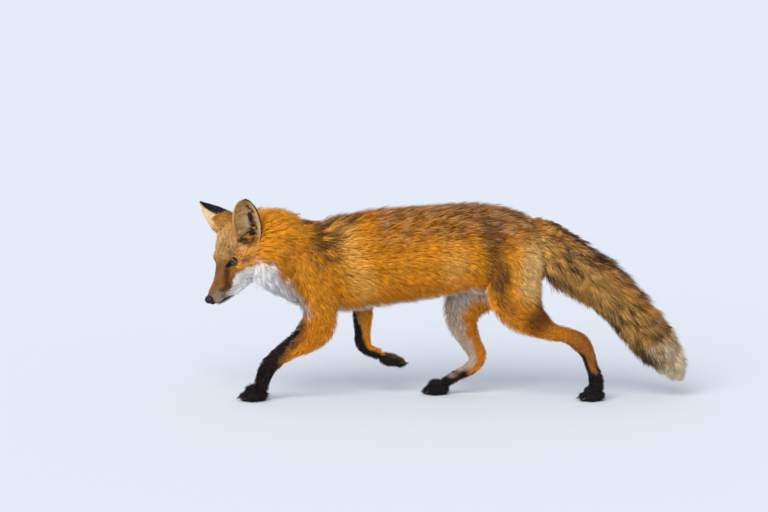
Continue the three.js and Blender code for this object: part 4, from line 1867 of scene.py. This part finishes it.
@dataclass
class Coat:
    """All the tufts that grow on the skin."""

    skin: Skin
    finish: bpy.types.Material
    eyes_clear: float = 9.6  # mm round an eye's centre where nothing grows

    def build(self) -> None:
        """Grows every region of the coat."""
        tri = self.skin.points[self.skin.triangles]
        centres = tri.mean(axis=1)
        areas = np.linalg.norm(np.cross(tri[:, 1] - tri[:, 0], tri[:, 2] - tri[:, 0]), axis=1) / 2
        spot = locate(centres)
        for seed, (cut, weight) in enumerate(self._regions(spot)):
            self._grow(cut, areas * weight, SEED + seed)

    def _regions(self, spot: Places) -> list[tuple[Cut, Array]]:
        """Each region's cut, and how densely it grows on each face of the skin.

        Args:
            spot: the middles of the skin's faces.

        Returns:
            The cuts and densities.
        """
        x, _, z = spot.points.T
        f, side, _ = in_head(spot.points).T
        torso, tail = spot.part == Part.TORSO, spot.part == Part.TAIL
        hind = np.isin(spot.part, (Part.HIND_LEFT, Part.HIND_RIGHT))
        fore = np.isin(spot.part, (Part.FORE_LEFT, Part.FORE_RIGHT))
        head = np.isin(spot.part, (Part.SKULL, Part.JAW))
        feet = (z < 40) | (from_lifted_foot(spot.points) < 48)
        body = torso | ((hind | fore) & (z > 170))
        face = head & (f > -14)
        bare = (np.abs(side) < 9) & (f > 78)
        for side_of_head in Side:
            _, eye = eye_axes(side_of_head)
            bare = bare | (np.linalg.norm(spot.points - eye, axis=1) < self.eyes_clear)
        depth = spot.take("depth")
        tail_tip = tail & (spot.on[Part.TAIL]["t"] < 0.42)
        low = ~feet & ~body
        regions = [
            (Cut("coat_neck", 16400, 2, 1.8, 10, 1.5, 9, 0.5, 0.18), body & (x < -262)),
            (Cut("coat_shoulders", 16200, 2, 1.8, 10, 1.45, 8, 0.45, 0.12), body & (x >= -262) & (x < -105)),
            (Cut("coat_flanks", 16200, 2, 1.85, 10, 1.45, 8, 0.45, 0.12), body & (x >= -105) & (x < 50)),
            (Cut("coat_rump", 16200, 2, 1.85, 10, 1.45, 8, 0.45, 0.12), body & (x >= 50)),
            (Cut("coat_tail_base", 16400, 2, 1.75, 12, 1.6, 9, 0.6, 0.2), tail & ~tail_tip),
            (Cut("coat_tail_end", 14000, 2, 1.6, 10, 1.6, 9, 0.6, 0.2, "coat_cream"), tail_tip),
            (Cut("coat_forelegs", 8500, 2, 1.7, 5.5, 1.2, 7, 0.4, 0.15), fore & low),
            (Cut("coat_hindlegs", 9500, 2, 1.7, 5.5, 1.2, 7, 0.4, 0.15), hind & low),
            (Cut("coat_feet", 5500, 2, 1.6, 4.5, 1.1, 5, 0.3, 0.2, "coat_black"), feet & (z > 3)),
            (Cut("coat_cheeks", 11000, 2, 1.8, 6, 1.2, 8, 0.5, 0.13, "coat_grizzled"), head & ~face & ~bare),
            (Cut("coat_face", 11500, 2, 1.55, 3.2, 0.85, 4.5, 0.35, 0.13, "coat_grizzled"), face & ~bare),
        ]
        dense = 1 / np.clip(depth, 1.5, 12) ** 0.5
        return [(cut, mask * dense) for cut, mask in regions]

    def _grow(self, cut: Cut, weight: Array, seed: int) -> None:
        """Sows roots evenly over a region's faces and grows a piece of the coat from them.

        Args:
            cut: the region's cut.
            weight: how many roots each face gets, in proportion.
            seed: which random draws.
        """
        rng = np.random.default_rng(seed)
        running = np.cumsum(weight)
        pick = (np.arange(cut.count) + rng.random(cut.count)) / cut.count * running[-1]
        face = np.clip(np.searchsorted(running, pick), 0, len(weight) - 1)
        a, b = rng.random((2, cut.count))
        flip = a + b > 1
        a, b = np.where(flip, 1 - a, a), np.where(flip, 1 - b, b)
        corners = self.skin.triangles[face]
        shares = np.stack([1 - a - b, a, b], 1)[..., None]
        points = (self.skin.points[corners] * shares).sum(axis=1)
        normals = unit((self.skin.normals[corners] * shares).sum(axis=1))
        spot = locate(points)
        flow = spot.weighed("flow")
        flow = unit(flow - normals * dot(flow, normals)[:, None])
        depth = spot.weighed("depth")
        ahead = 0.55 * np.maximum(depth * cut.length, cut.least)
        shown = locate(points + flow * ahead[:, None] + normals * 0.7 * depth[:, None])
        depth = depth * fullness(spot)
        hair = Roots(points, normals, flow, depth, raggedness(spot))
        roots = coloured(hair, markings_and_shade(shown), spot.take("lie"), rng)
        column = (spot.part + 0.02 + 0.96 * spot.take("t")) / len(LIMBS)
        roots.map = np.stack([column, spot.take("angle")], 1)
        shell, colours, places = tufts(roots, cut, rng)
        made = make_object(cut.name, shell, self.finish)
        add_colours(made, "tint", colours)
        add_map(made, places)


def coloured(roots: Roots, tints: Tints, lie: Array, rng: np.random.Generator) -> Roots:
    """Gives roots their colours: a root darkened as painted shade deep in the coat, and in streaks along the
    lie a pale or dark tip.

    Args:
        roots: the roots.
        tints: their colours and chances.
        lie: places that are drawn out along the lie.
        rng: the source of chance.

    Returns:
        The same roots, with colours.
    """
    count = len(roots.points)
    streak = lie * np.array([1.0, 1.0, 2.5])
    shade = 0.07 * waves(streak, 8, 71) + 0.09 * waves(streak, 21, 73) + 0.1 * rng.normal(size=count)
    local = np.clip(1 + shade, 0.65, 1.35)[:, None]
    middle, tip = tints.middle * local, tints.tip * local
    draw = 0.4 * rng.random(count) + 0.6 * np.clip(0.5 + 0.55 * waves(streak, 6, 72), 0, 1)
    pale, dark = (draw < tints.pale)[:, None], (draw > 1 - tints.dark)[:, None]
    tip = np.where(pale, 0.35 * tip + 0.65 * CREAM, tip)
    tip = np.where(dark, 0.2 * tip + 0.8 * DUSK, tip)
    roots.middle = np.where(dark, 0.55 * middle + 0.45 * DUSK, middle)
    # Painted shade: each hair's root is 0.74 of its middle's colour, for the shade deep in the coat.
    roots.root, roots.tip = 0.74 * middle, tip
    return roots


# ---- ears ------------------------------------------------------------------------------------
class Growth(Enum):
    """The kinds of hair on an ear."""

    BACK = "back"  # the nap behind
    SKIRT = "skirt"  # longer hair round the foot
    EDGE = "edge"  # the rim
    NAP = "nap"  # short hair within
    LONG = "long"  # pale hair across the hollow


@dataclass(frozen=True)
class EarHair:
    """One kind of hair on an ear, and where it grows on the leaf."""

    kind: Growth
    cut: Cut
    inside: float  # share of the wall's thickness, from the back to the hollow
    span: Pair  # shares across, signed, or from the middle to either edge where `front` is given
    tall: float  # share of the ear's height that it covers
    depth: float  # mm that it rises
    front: float | None = None  # share of it that grows on the front half


EAR_HAIR = (
    EarHair(Growth.BACK, Cut("back", 1500, 2, 1.6, 3.8, 1.1, 5, 0.3, 0.12), 0.0, (-1.0, 1.0), 0.93, 1.4),
    EarHair(Growth.SKIRT, Cut("skirt", 360, 2, 1.6, 11.0, 1.2, 7, 0.3, 0.08), 0.0, (-1.0, 1.0), 0.26, 3.0),
    EarHair(Growth.EDGE, Cut("edge", 450, 2, 1.6, 3.4, 0.9, 4, 0.3, 0.1), 0.5, (0.93, 1.0), 0.93, 1.4, 0.5),
    EarHair(Growth.NAP, Cut("nap", 700, 2, 1.6, 4.0, 0.9, 5, 0.3, 0.25), 1.0, (-0.95, 0.95), 0.93, 2.0),
    EarHair(
        Growth.LONG, Cut("long", 340, 3, 1.6, 12.0, 0.7, 6, 0.3, 0.4), 1.0, (0.05, 0.85), 0.72, 3.5, 0.94
    ),
)


@dataclass
class Ear:
    """An ear: a leaf rolled round its axis, black behind, with pale hair in its hollow.

    At share u of its height the leaf's half width is width * (1 - u^blunt)^taper * (0.8 + 0.8 u
    (1 - u)), and share v across it lies at the angle v * roll round a hollow of depth cup.
    """

    name: str
    base: Triple
    tip: Triple
    opens: Triple
    blunt: float
    taper: float
    rear: int  # the sign of v on the ear's rear edge
    width: float = 29.8
    cup: float = 24.2
    wall: float = 2.4
    rows: int = 44
    columns: int = 30

    def axes(self) -> tuple[Array, Array, Array, float]:
        """The ear's sideways, outward and upward axes, and its height.

        Returns:
            The three axes and the height in mm.
        """
        up = np.array(self.tip, float) - np.array(self.base, float)
        height = float(np.linalg.norm(up)) - 2.0
        up = unit(up)
        out = np.array(self.opens, float)
        out = unit(out - up * (out @ up))
        return np.cross(up, out), out, up, height

    def leaf(self, u: Array, v: Array, inward: Array | float) -> Array:
        """Points of the leaf at shares u of the height and v across, inward mm inside its back.

        Args:
            u: shares of the height.
            v: shares across, -1 to 1.
            inward: mm inside the back.

        Returns:
            The points, in mm.
        """
        aside, out, up, height = self.axes()
        full = np.maximum(1 - u**self.blunt, 0) ** self.taper * (0.8 + 0.8 * u * (1 - u))
        half = self.width * np.maximum(full, 0.06)
        cup = self.cup * (1 - 0.8 * u) * (0.75 + 0.5 * u)
        roll = np.radians(100 - 55 * u)
        inward = np.minimum(inward, half * 0.6)
        angle = v * roll
        x = (half - inward) * np.sin(angle) / np.sin(np.minimum(roll, math.pi / 2))
        depth = -(cup - inward) * (np.cos(angle) - np.cos(roll)) / (1 - np.cos(roll))
        base = np.array(self.base, float)
        return base + x[..., None] * aside + depth[..., None] * out + (u * height)[..., None] * up

    def build(self, finish: bpy.types.Material) -> bpy.types.Object:
        """The ear's skin: its back and its hollow, joined round the rim.

        Args:
            finish: the skin's material.

        Returns:
            The skin of the ear.
        """
        high, wide = np.linspace(0, 1, self.rows + 1), np.linspace(-1, 1, self.columns + 1)
        u, v = np.meshgrid(high, wide, indexing="ij")
        rings = np.concatenate([self.leaf(u, v, 0.0), self.leaf(u, v, self.wall)[:, ::-1]], axis=1)
        shell = closed_grid(rings)
        ends = [[0.0], [1.0]]
        high = np.concatenate([np.concatenate([u, u[:, ::-1]], axis=1).ravel(), *ends])
        wide = np.concatenate([np.concatenate([v, v[:, ::-1]], axis=1).ravel(), [0.0], [0.0]])
        hollow = np.concatenate([np.concatenate([0 * v, 0 * v + 1], axis=1).ravel(), [0.5], [0.5]])
        made = make_object(self.name, shell, finish)
        add_colours(made, "tint", self.tints(high, wide, hollow))
        add_vectors(made, "lie", np.stack([wide * 30, hollow * 9, high * 9], 1))
        return made

    def tints(self, u: Array, v: Array, hollow: Array) -> Array:
        """Black behind with an orange foot; tan and cream within, painted shade down the deepest part of the
        hollow, and a black rim.

        Args:
            u: shares of the height.
            v: shares across, -1 to 1.
            hollow: 1 in the hollow and 0 behind.

        Returns:
            Their colours.
        """
        count = len(u)
        rear = v * self.rear
        line = -0.1 + np.where(u < 0.5, 5.0 * (0.5 - u), 0.5 - u)
        dark = smooth(-0.1, 0.1, rear - line)
        back = Dye(0.28 * ORANGE + 0.22 * BROWN, count)
        back.lay(BLACK, dark)
        pale = (1 - dark) * np.maximum(smooth(-0.4, -0.65, rear), smooth(0.46, 0.54, u))
        back.lay(0.45 * CREAM + 0.4 * TAN, pale)
        inner = Dye(0.44 * TAN + 0.16 * ORANGE, count)
        inner.lay(0.6 * BROWN, 0.6 * bump(u, 0.86, 0.16) * bump(rear, 0.0, 0.5))
        mottle = waves(np.stack([12 * v, 26 * hollow, 80 * u], axis=1), 6, 31)
        middle = bump(rear, -0.1, 0.5) * bump(u, 0.4, 0.46)
        inner.lay(0.75 * CREAM, 0.6 * middle * smooth(-0.6, 0.5, mottle))
        inner.lay(0.5 * BROWN, 0.4 * smooth(0.1, 1.0, mottle) * smooth(0.4, 0.7, u))
        inner.lay(0.6 * CREAM + 0.2 * GOLD, 0.65 * smooth(0.4, 0.8, rear))
        foot = smooth(0.2, 0.05, u)
        wide = 0.2 + 0.22 * bump(u, 0.42, 0.34) + 0.5 * foot
        # Painted shade: a dark streak down the deepest part of the hollow, wider at the foot.
        pit_shade = bump(rear - 0.14 * mottle, 0.2 - 0.2 * foot, wide) * smooth(0.9, 0.74, u)
        inner.lay(0.3 * DUSK, np.clip(2.0 * pit_shade, 0, 0.97))
        back.lay(inner.colour, hollow)
        rim = np.maximum(smooth(0.88, 0.98, rear), smooth(0.95, 1.0, u)) * smooth(0.42, 0.58, u)
        back.lay(BLACK, 0.85 * rim)
        return back.colour

    def fringe(self, coat: bpy.types.Material, seed: int) -> bpy.types.Object:
        """The ear's hair: a short nap behind, a skirt, a rim, and pale hair across the hollow.

        Args:
            coat: the hair's material.
            seed: which random draws.

        Returns:
            The piece of hair.
        """
        rng = np.random.default_rng(seed)
        grown = [self._grow(hair, rng) for hair in EAR_HAIR]
        shells, colours, places = zip(*grown)
        made = make_object("coat_" + self.name, joined(list(shells)), coat)
        add_colours(made, "tint", np.concatenate(colours))
        add_map(made, np.concatenate(places))
        return made

    def _grow(self, hair: EarHair, rng: np.random.Generator) -> tuple[Shell, Array, Array]:
        """Grows one kind of hair on the leaf.

        Args:
            hair: the kind of hair.
            rng: the source of chance.

        Returns:
            The blades, their points' colours, and their places on the bake map.
        """
        count = hair.cut.count
        u = 0.04 + hair.tall * rng.random(count) ** 1.2
        v = rng.uniform(*hair.span, count)
        if hair.front is not None:
            v = v * self.rear * np.where(rng.random(count) < hair.front, -1, 1)
        at, normal, flow = self._stand(hair, u, v)
        base = self.tints(u, v, np.full(count, float(hair.inside == 1.0)))
        if hair.kind == Growth.LONG:
            base = mix(base, 0.85 * CREAM, 0.95 * rng.random(count) ** 0.7)
        if hair.kind == Growth.SKIRT:
            base = mix(base, 0.42 * TAN + 0.26 * ORANGE, smooth(0.6, 0.0, v * self.rear))
        if hair.kind == Growth.EDGE:
            base = mix(base, BLACK, np.full(count, 0.6))
        still = np.zeros(count)
        bare = Roots(at, normal, flow, np.full(count, hair.depth), still)
        roots = coloured(bare, Tints(base, base, still + 0.05, still), at, rng)
        column = 0.02 + 0.3 * (v + 1) / 2 + 0.33 * (hair.inside * 2 % 3)
        roots.map = np.stack([column, 0.02 + 0.96 * u], 1)
        return tufts(roots, hair.cut, rng)

    def _stand(self, hair: EarHair, u: Array, v: Array) -> tuple[Array, Array, Array]:
        """Where one kind of hair is rooted, the way out of the skin there, and the way it lies.

        Hair lies up the leaf. On the rim it stands out sideways, and the long hair turns from the
        front edge across the hollow.

        Args:
            hair: the kind of hair.
            u: shares of the height.
            v: shares across.

        Returns:
            The roots, the ways out and the ways along.
        """
        aside, out, _, _ = self.axes()
        inward, step = hair.inside * self.wall, 0.01
        at = self.leaf(u, v, inward)
        above = self.leaf(u + step, v, inward) - at
        beside = self.leaf(u, v + step, inward) - at
        normal = unit(np.cross(beside, above))
        facing = np.sign(dot(normal, np.broadcast_to(out, normal.shape)) + 1e-6)
        normal = normal * (facing * (1 if hair.inside == 1.0 else -1))[:, None]
        across = np.sign(v)[:, None] * aside
        if hair.kind == Growth.EDGE:
            normal = unit(across + 0.2 * out)
        flow = unit(above)
        if hair.kind == Growth.LONG:
            flow = unit(above / step / 60 - across * 0.9 + out * 0.25)
        return at, normal, flow


EARS = (
    Ear("ear_skin_left", (-390, -33, 320), (-396, -64, 410), (-0.25, -0.92, -0.3), 4.5, 0.4, 1),
    Ear("ear_skin_right", (-425, 24, 337), (-491, 44, 391), (-0.4, 0.88, -0.25), 1.8, 0.8, -1),
)


# ---- eyes, nose, claws, whiskers ---------------------------------------------------------------
@dataclass
class Eyes:
    """The eyeballs, with their lids."""

    opening: Pair = (7.5, 3.9)  # mm, half the width and half the height
    lid: float = 3.0  # mm, how far a lid spreads over the face
    cornea: float = 0.5  # mm that the cornea stands out

    def build(self) -> None:
        """Both eyes and both pairs of lids."""
        ball, leather = EyeFinish().material(), PadFinish("lid_leather", 1200.0, 0.6).material()
        for side in Side:
            name = side.name.lower()
            axes, centre = eye_axes(side)
            shell = self.ball()
            made = make_object("eyeball_" + name, shell.moved(axes, centre), ball)
            add_vectors(made, "gaze", shell.points / EYE_RADIUS)
            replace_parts(made, "eye_" + name)
            make_object("eyelids_" + name, self.lids().moved(axes, centre), leather)

    def ball(self) -> Shell:
        """A sphere about its centre with a bell added along the gaze, x, for the cornea.

        Returns:
            The eyeball, looking along x.
        """
        shell = ellipsoid((EYE_RADIUS,) * 3, 48, 64)
        away = np.hypot(shell.points[:, 1], shell.points[:, 2])
        bulge = self.cornea * np.exp(-((away / 4.2) ** 2)) * (shell.points[:, 0] > 0)
        return Shell(shell.points + np.stack([bulge, 0 * bulge, 0 * bulge], 1), shell.faces)

    def lids(self) -> Shell:
        """A soft almond ring that hugs the eyeball.

        Round the ring the rim goes as an ellipse whose height narrows to its corners. Across the
        ring a rounded lip at the rim thins outwards until it has sunk under the face.

        Returns:
            The ring, in the eyeball's frame.
        """
        angle = np.linspace(0, 2 * math.pi, 72, endpoint=False)[:, None]
        wide = self.opening[0] * np.sign(np.cos(angle)) * np.abs(np.cos(angle)) ** 0.8
        high = self.opening[1] * np.sin(angle) * (1 - 0.25 * np.cos(angle) ** 2)
        high = np.where(high > 0, 0.82 * high, high)
        inner = np.hypot(wide, high)
        way = np.stack([0 * angle, np.cos(np.arctan2(high, wide)), np.sin(np.arctan2(high, wide))], -1)
        across = np.linspace(0, 2 * math.pi, 14, endpoint=False)[None, :]
        spread = 0.5 * self.lid * (1 - np.cos(across)) + 0.0 * angle
        lift = 1.0 * np.sin(across) * (1 - 0.35 * spread / self.lid)
        away = inner + spread
        theta = away / EYE_RADIUS
        radius = EYE_RADIUS + 0.55 + lift - 0.5 * (spread / self.lid) ** 2
        x = radius * np.cos(theta)
        rings = way * (radius * np.sin(theta))[..., None]
        rings[..., 0] = x
        return ring_shell(rings)


def ring_shell(rings: Array) -> Shell:
    """A closed ring: a grid of points that wraps in both directions.

    Args:
        rings: an array of ring, side and coordinate.

    Returns:
        The closed surface.
    """
    count, sides, _ = rings.shape
    r, k = np.meshgrid(np.arange(count), np.arange(sides), indexing="ij")
    ahead, beside = (r + 1) % count, (k + 1) % sides
    quads = np.stack([r * sides + k, r * sides + beside, ahead * sides + beside, ahead * sides + k], -1)
    return outward(Shell(rings.reshape(-1, 3), quads.reshape(-1, 4)))


@dataclass
class Nose:
    """The nose pad, with its nostrils and the groove between them."""

    place: Triple = (81.5, 0.0, -26.0)
    reach: Triple = (9.5, 9.8, 8.2)

    def build(self) -> bpy.types.Object:
        """An ellipsoid pressed in along its middle and at each comma-shaped nostril.

        Returns:
            The nose pad.
        """
        shell = ellipsoid((1, 1, 1), 72, 96)
        x, y, z = shell.points.T
        groove = np.exp(-((y / 0.09) ** 2)) * smooth(0.35, -0.1, z) * smooth(0.2, 0.6, x)
        left = np.abs(y)
        curve = z + 0.12 - 0.9 * (left - 0.5) ** 2
        hole = np.exp(-(((left - 0.48) / 0.17) ** 2) - (curve / 0.2) ** 2) * smooth(0.3, 0.6, x)
        slit = np.exp(-(((left - 0.78) / 0.2) ** 2) - ((z + 0.12) / 0.08) ** 2) * smooth(0.0, 0.3, x)
        press = 1 - 0.12 * groove - 0.42 * hole - 0.2 * slit
        flat = 1 - 0.1 * smooth(0.5, 1.0, z)
        broad = 1 + 0.06 * smooth(0.2, -0.4, z)
        points = np.stack([x * press, y * broad, z * flat], 1) * np.array(self.reach)
        at = np.array(self.place) @ HEAD_AXES + HEAD_AT
        pad = Shell(points, shell.faces).moved(HEAD_AXES, at)
        made = make_object("nose_pad", pad, NoseFinish().material())
        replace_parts(made, "nose")
        return made


def build_feet() -> None:
    """The claws and the bare pads of all four feet."""
    claws = [claw for foot in FEET for claw in foot.claws()]
    make_object("claws", joined(claws), HornFinish().material())
    pads = [pad for foot in FEET for pad in foot.pads()]
    low = joined(pads)
    low.points[:, 2] = np.maximum(low.points[:, 2], 0.05)
    make_object("paw_pads", low, PadFinish().material())


@dataclass
class Whiskers:
    """Stiff black hairs on the muzzle."""

    count: int = 9
    length: float = 42.0
    radius: float = 0.28

    def build(self) -> bpy.types.Object:
        """Each is a thin cone whose axis leaves the lip sideways and bends back and down.

        Returns:
            All the whiskers as one piece.
        """
        rng = np.random.default_rng(SEED + 90)
        shells = []
        for side in Side:
            for k in range(self.count):
                start = np.array([66 - 3.6 * k, side.value * (13 + 0.35 * k), -33 - 2.6 * (k % 3)])
                size = self.length * rng.uniform(0.6, 1.0)
                s = np.linspace(0, 1, 12)[:, None, None]
                angle = np.linspace(0, 2 * math.pi, 5, endpoint=False)[None, :, None]
                way = unit(np.array([-0.35 - 0.04 * k, side.value * 0.85, -0.25 + 0.12 * (k % 3)]))
                bend = np.array([-0.55, -side.value * 0.1, -0.3])
                axis = start + size * (way * s + bend * 0.6 * s**2)
                beside = unit(np.cross(way, [0, 0, 1.0]))
                over = np.cross(way, beside)
                thick = self.radius * (1 - 0.92 * s)
                ring = axis + thick * (np.cos(angle) * beside + np.sin(angle) * over)
                shells.append(closed_grid(ring).moved(HEAD_AXES, HEAD_AT))
        return make_object("whiskers", joined(shells), HornFinish("whisker_hair").material())


# ---- stage -------------------------------------------------------------------------------------
@dataclass
class Studio:
    """The camera, a pale floor, and soft light from above."""

    distance: float = 8.0
    elevation: float = 8.0
    target: Triple = (-0.1152, -0.0002, 0.2873)
    width: float = 1.536  # metres across the picture at the target
    floor_size: float = 60.0
    sun_from: Triple = (-1.4, -4.0, 3.2)
    sun_power: float = 3.35
    sun_width: float = 0.9  # radians
    sun_colour: Triple = (1.0, 0.97, 0.92)  # a little warm
    sky_power: float = 0.9

    def build(self) -> None:
        """Sets everything that isn't part of the fox."""
        self._camera()
        self._floor()
        self._sun()
        world = bpy.data.worlds.new("pale")
        world.use_nodes = True
        backdrop = world.node_tree.nodes["Background"]
        backdrop.inputs["Color"].default_value = (*tone(224, 230, 243), 1.0)
        backdrop.inputs["Strength"].default_value = self.sky_power
        bpy.context.scene.world = world
        bpy.context.scene.view_settings.view_transform = "Standard"

    def _camera(self) -> None:
        """A long lens, a little above the fox and square to its left side."""
        tilt = math.radians(self.elevation)
        data = bpy.data.cameras.new("camera")
        data.sensor_width = 36.0
        data.lens = data.sensor_width * self.distance / self.width
        data.clip_end = 200.0
        made = bpy.data.objects.new("camera", data)
        away = Vector((0.0, -math.cos(tilt), math.sin(tilt))) * self.distance
        made.location = Vector(self.target) + away
        made.rotation_euler = (math.pi / 2 - tilt, 0.0, 0.0)
        bpy.context.scene.collection.objects.link(made)
        bpy.context.scene.camera = made

    def _floor(self) -> None:
        """One large flat square."""
        half = self.floor_size / 2
        mesh = bpy.data.meshes.new("floor")
        corners = [(-half, -half, 0), (half, -half, 0), (half, half, 0), (-half, half, 0)]
        mesh.from_pydata(corners, [], [(0, 1, 2, 3)])
        mesh.materials.append(FloorFinish().material())
        made = bpy.data.objects.new("floor", mesh)
        bpy.context.scene.collection.objects.link(made)

    def _sun(self) -> None:
        """A wide, soft sun that shines from its place towards the origin."""
        data = bpy.data.lights.new("key", "SUN")
        data.angle = self.sun_width
        data.energy = self.sun_power
        data.color = self.sun_colour
        made = bpy.data.objects.new("key", data)
        made.rotation_euler = (-Vector(self.sun_from)).to_track_quat("-Z", "Y").to_euler()
        bpy.context.scene.collection.objects.link(made)


def main() -> None:
    """Builds the fox piece by piece and writes how large it came out."""
    logging.basicConfig(level=logging.INFO, format="%(message)s")
    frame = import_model()
    Studio().build()
    skin = Skin()
    made = skin.build()
    apart = ("nose", "eye_left", "eye_right", "ear_left", "ear_right")
    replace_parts(made, *(name for name in frame["nodes"] if name not in apart))
    fur, short = FurFinish().material(), SkinFinish("ear_skin").material()
    Coat(skin, fur).build()
    for seed, ear in enumerate(EARS):
        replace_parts(ear.build(short), ear.name.replace("_skin", ""))
        ear.fringe(fur, SEED + 40 + seed)
    Eyes().build()
    Nose().build()
    build_feet()
    Whiskers().build()


if __name__ == "__main__":
    main()
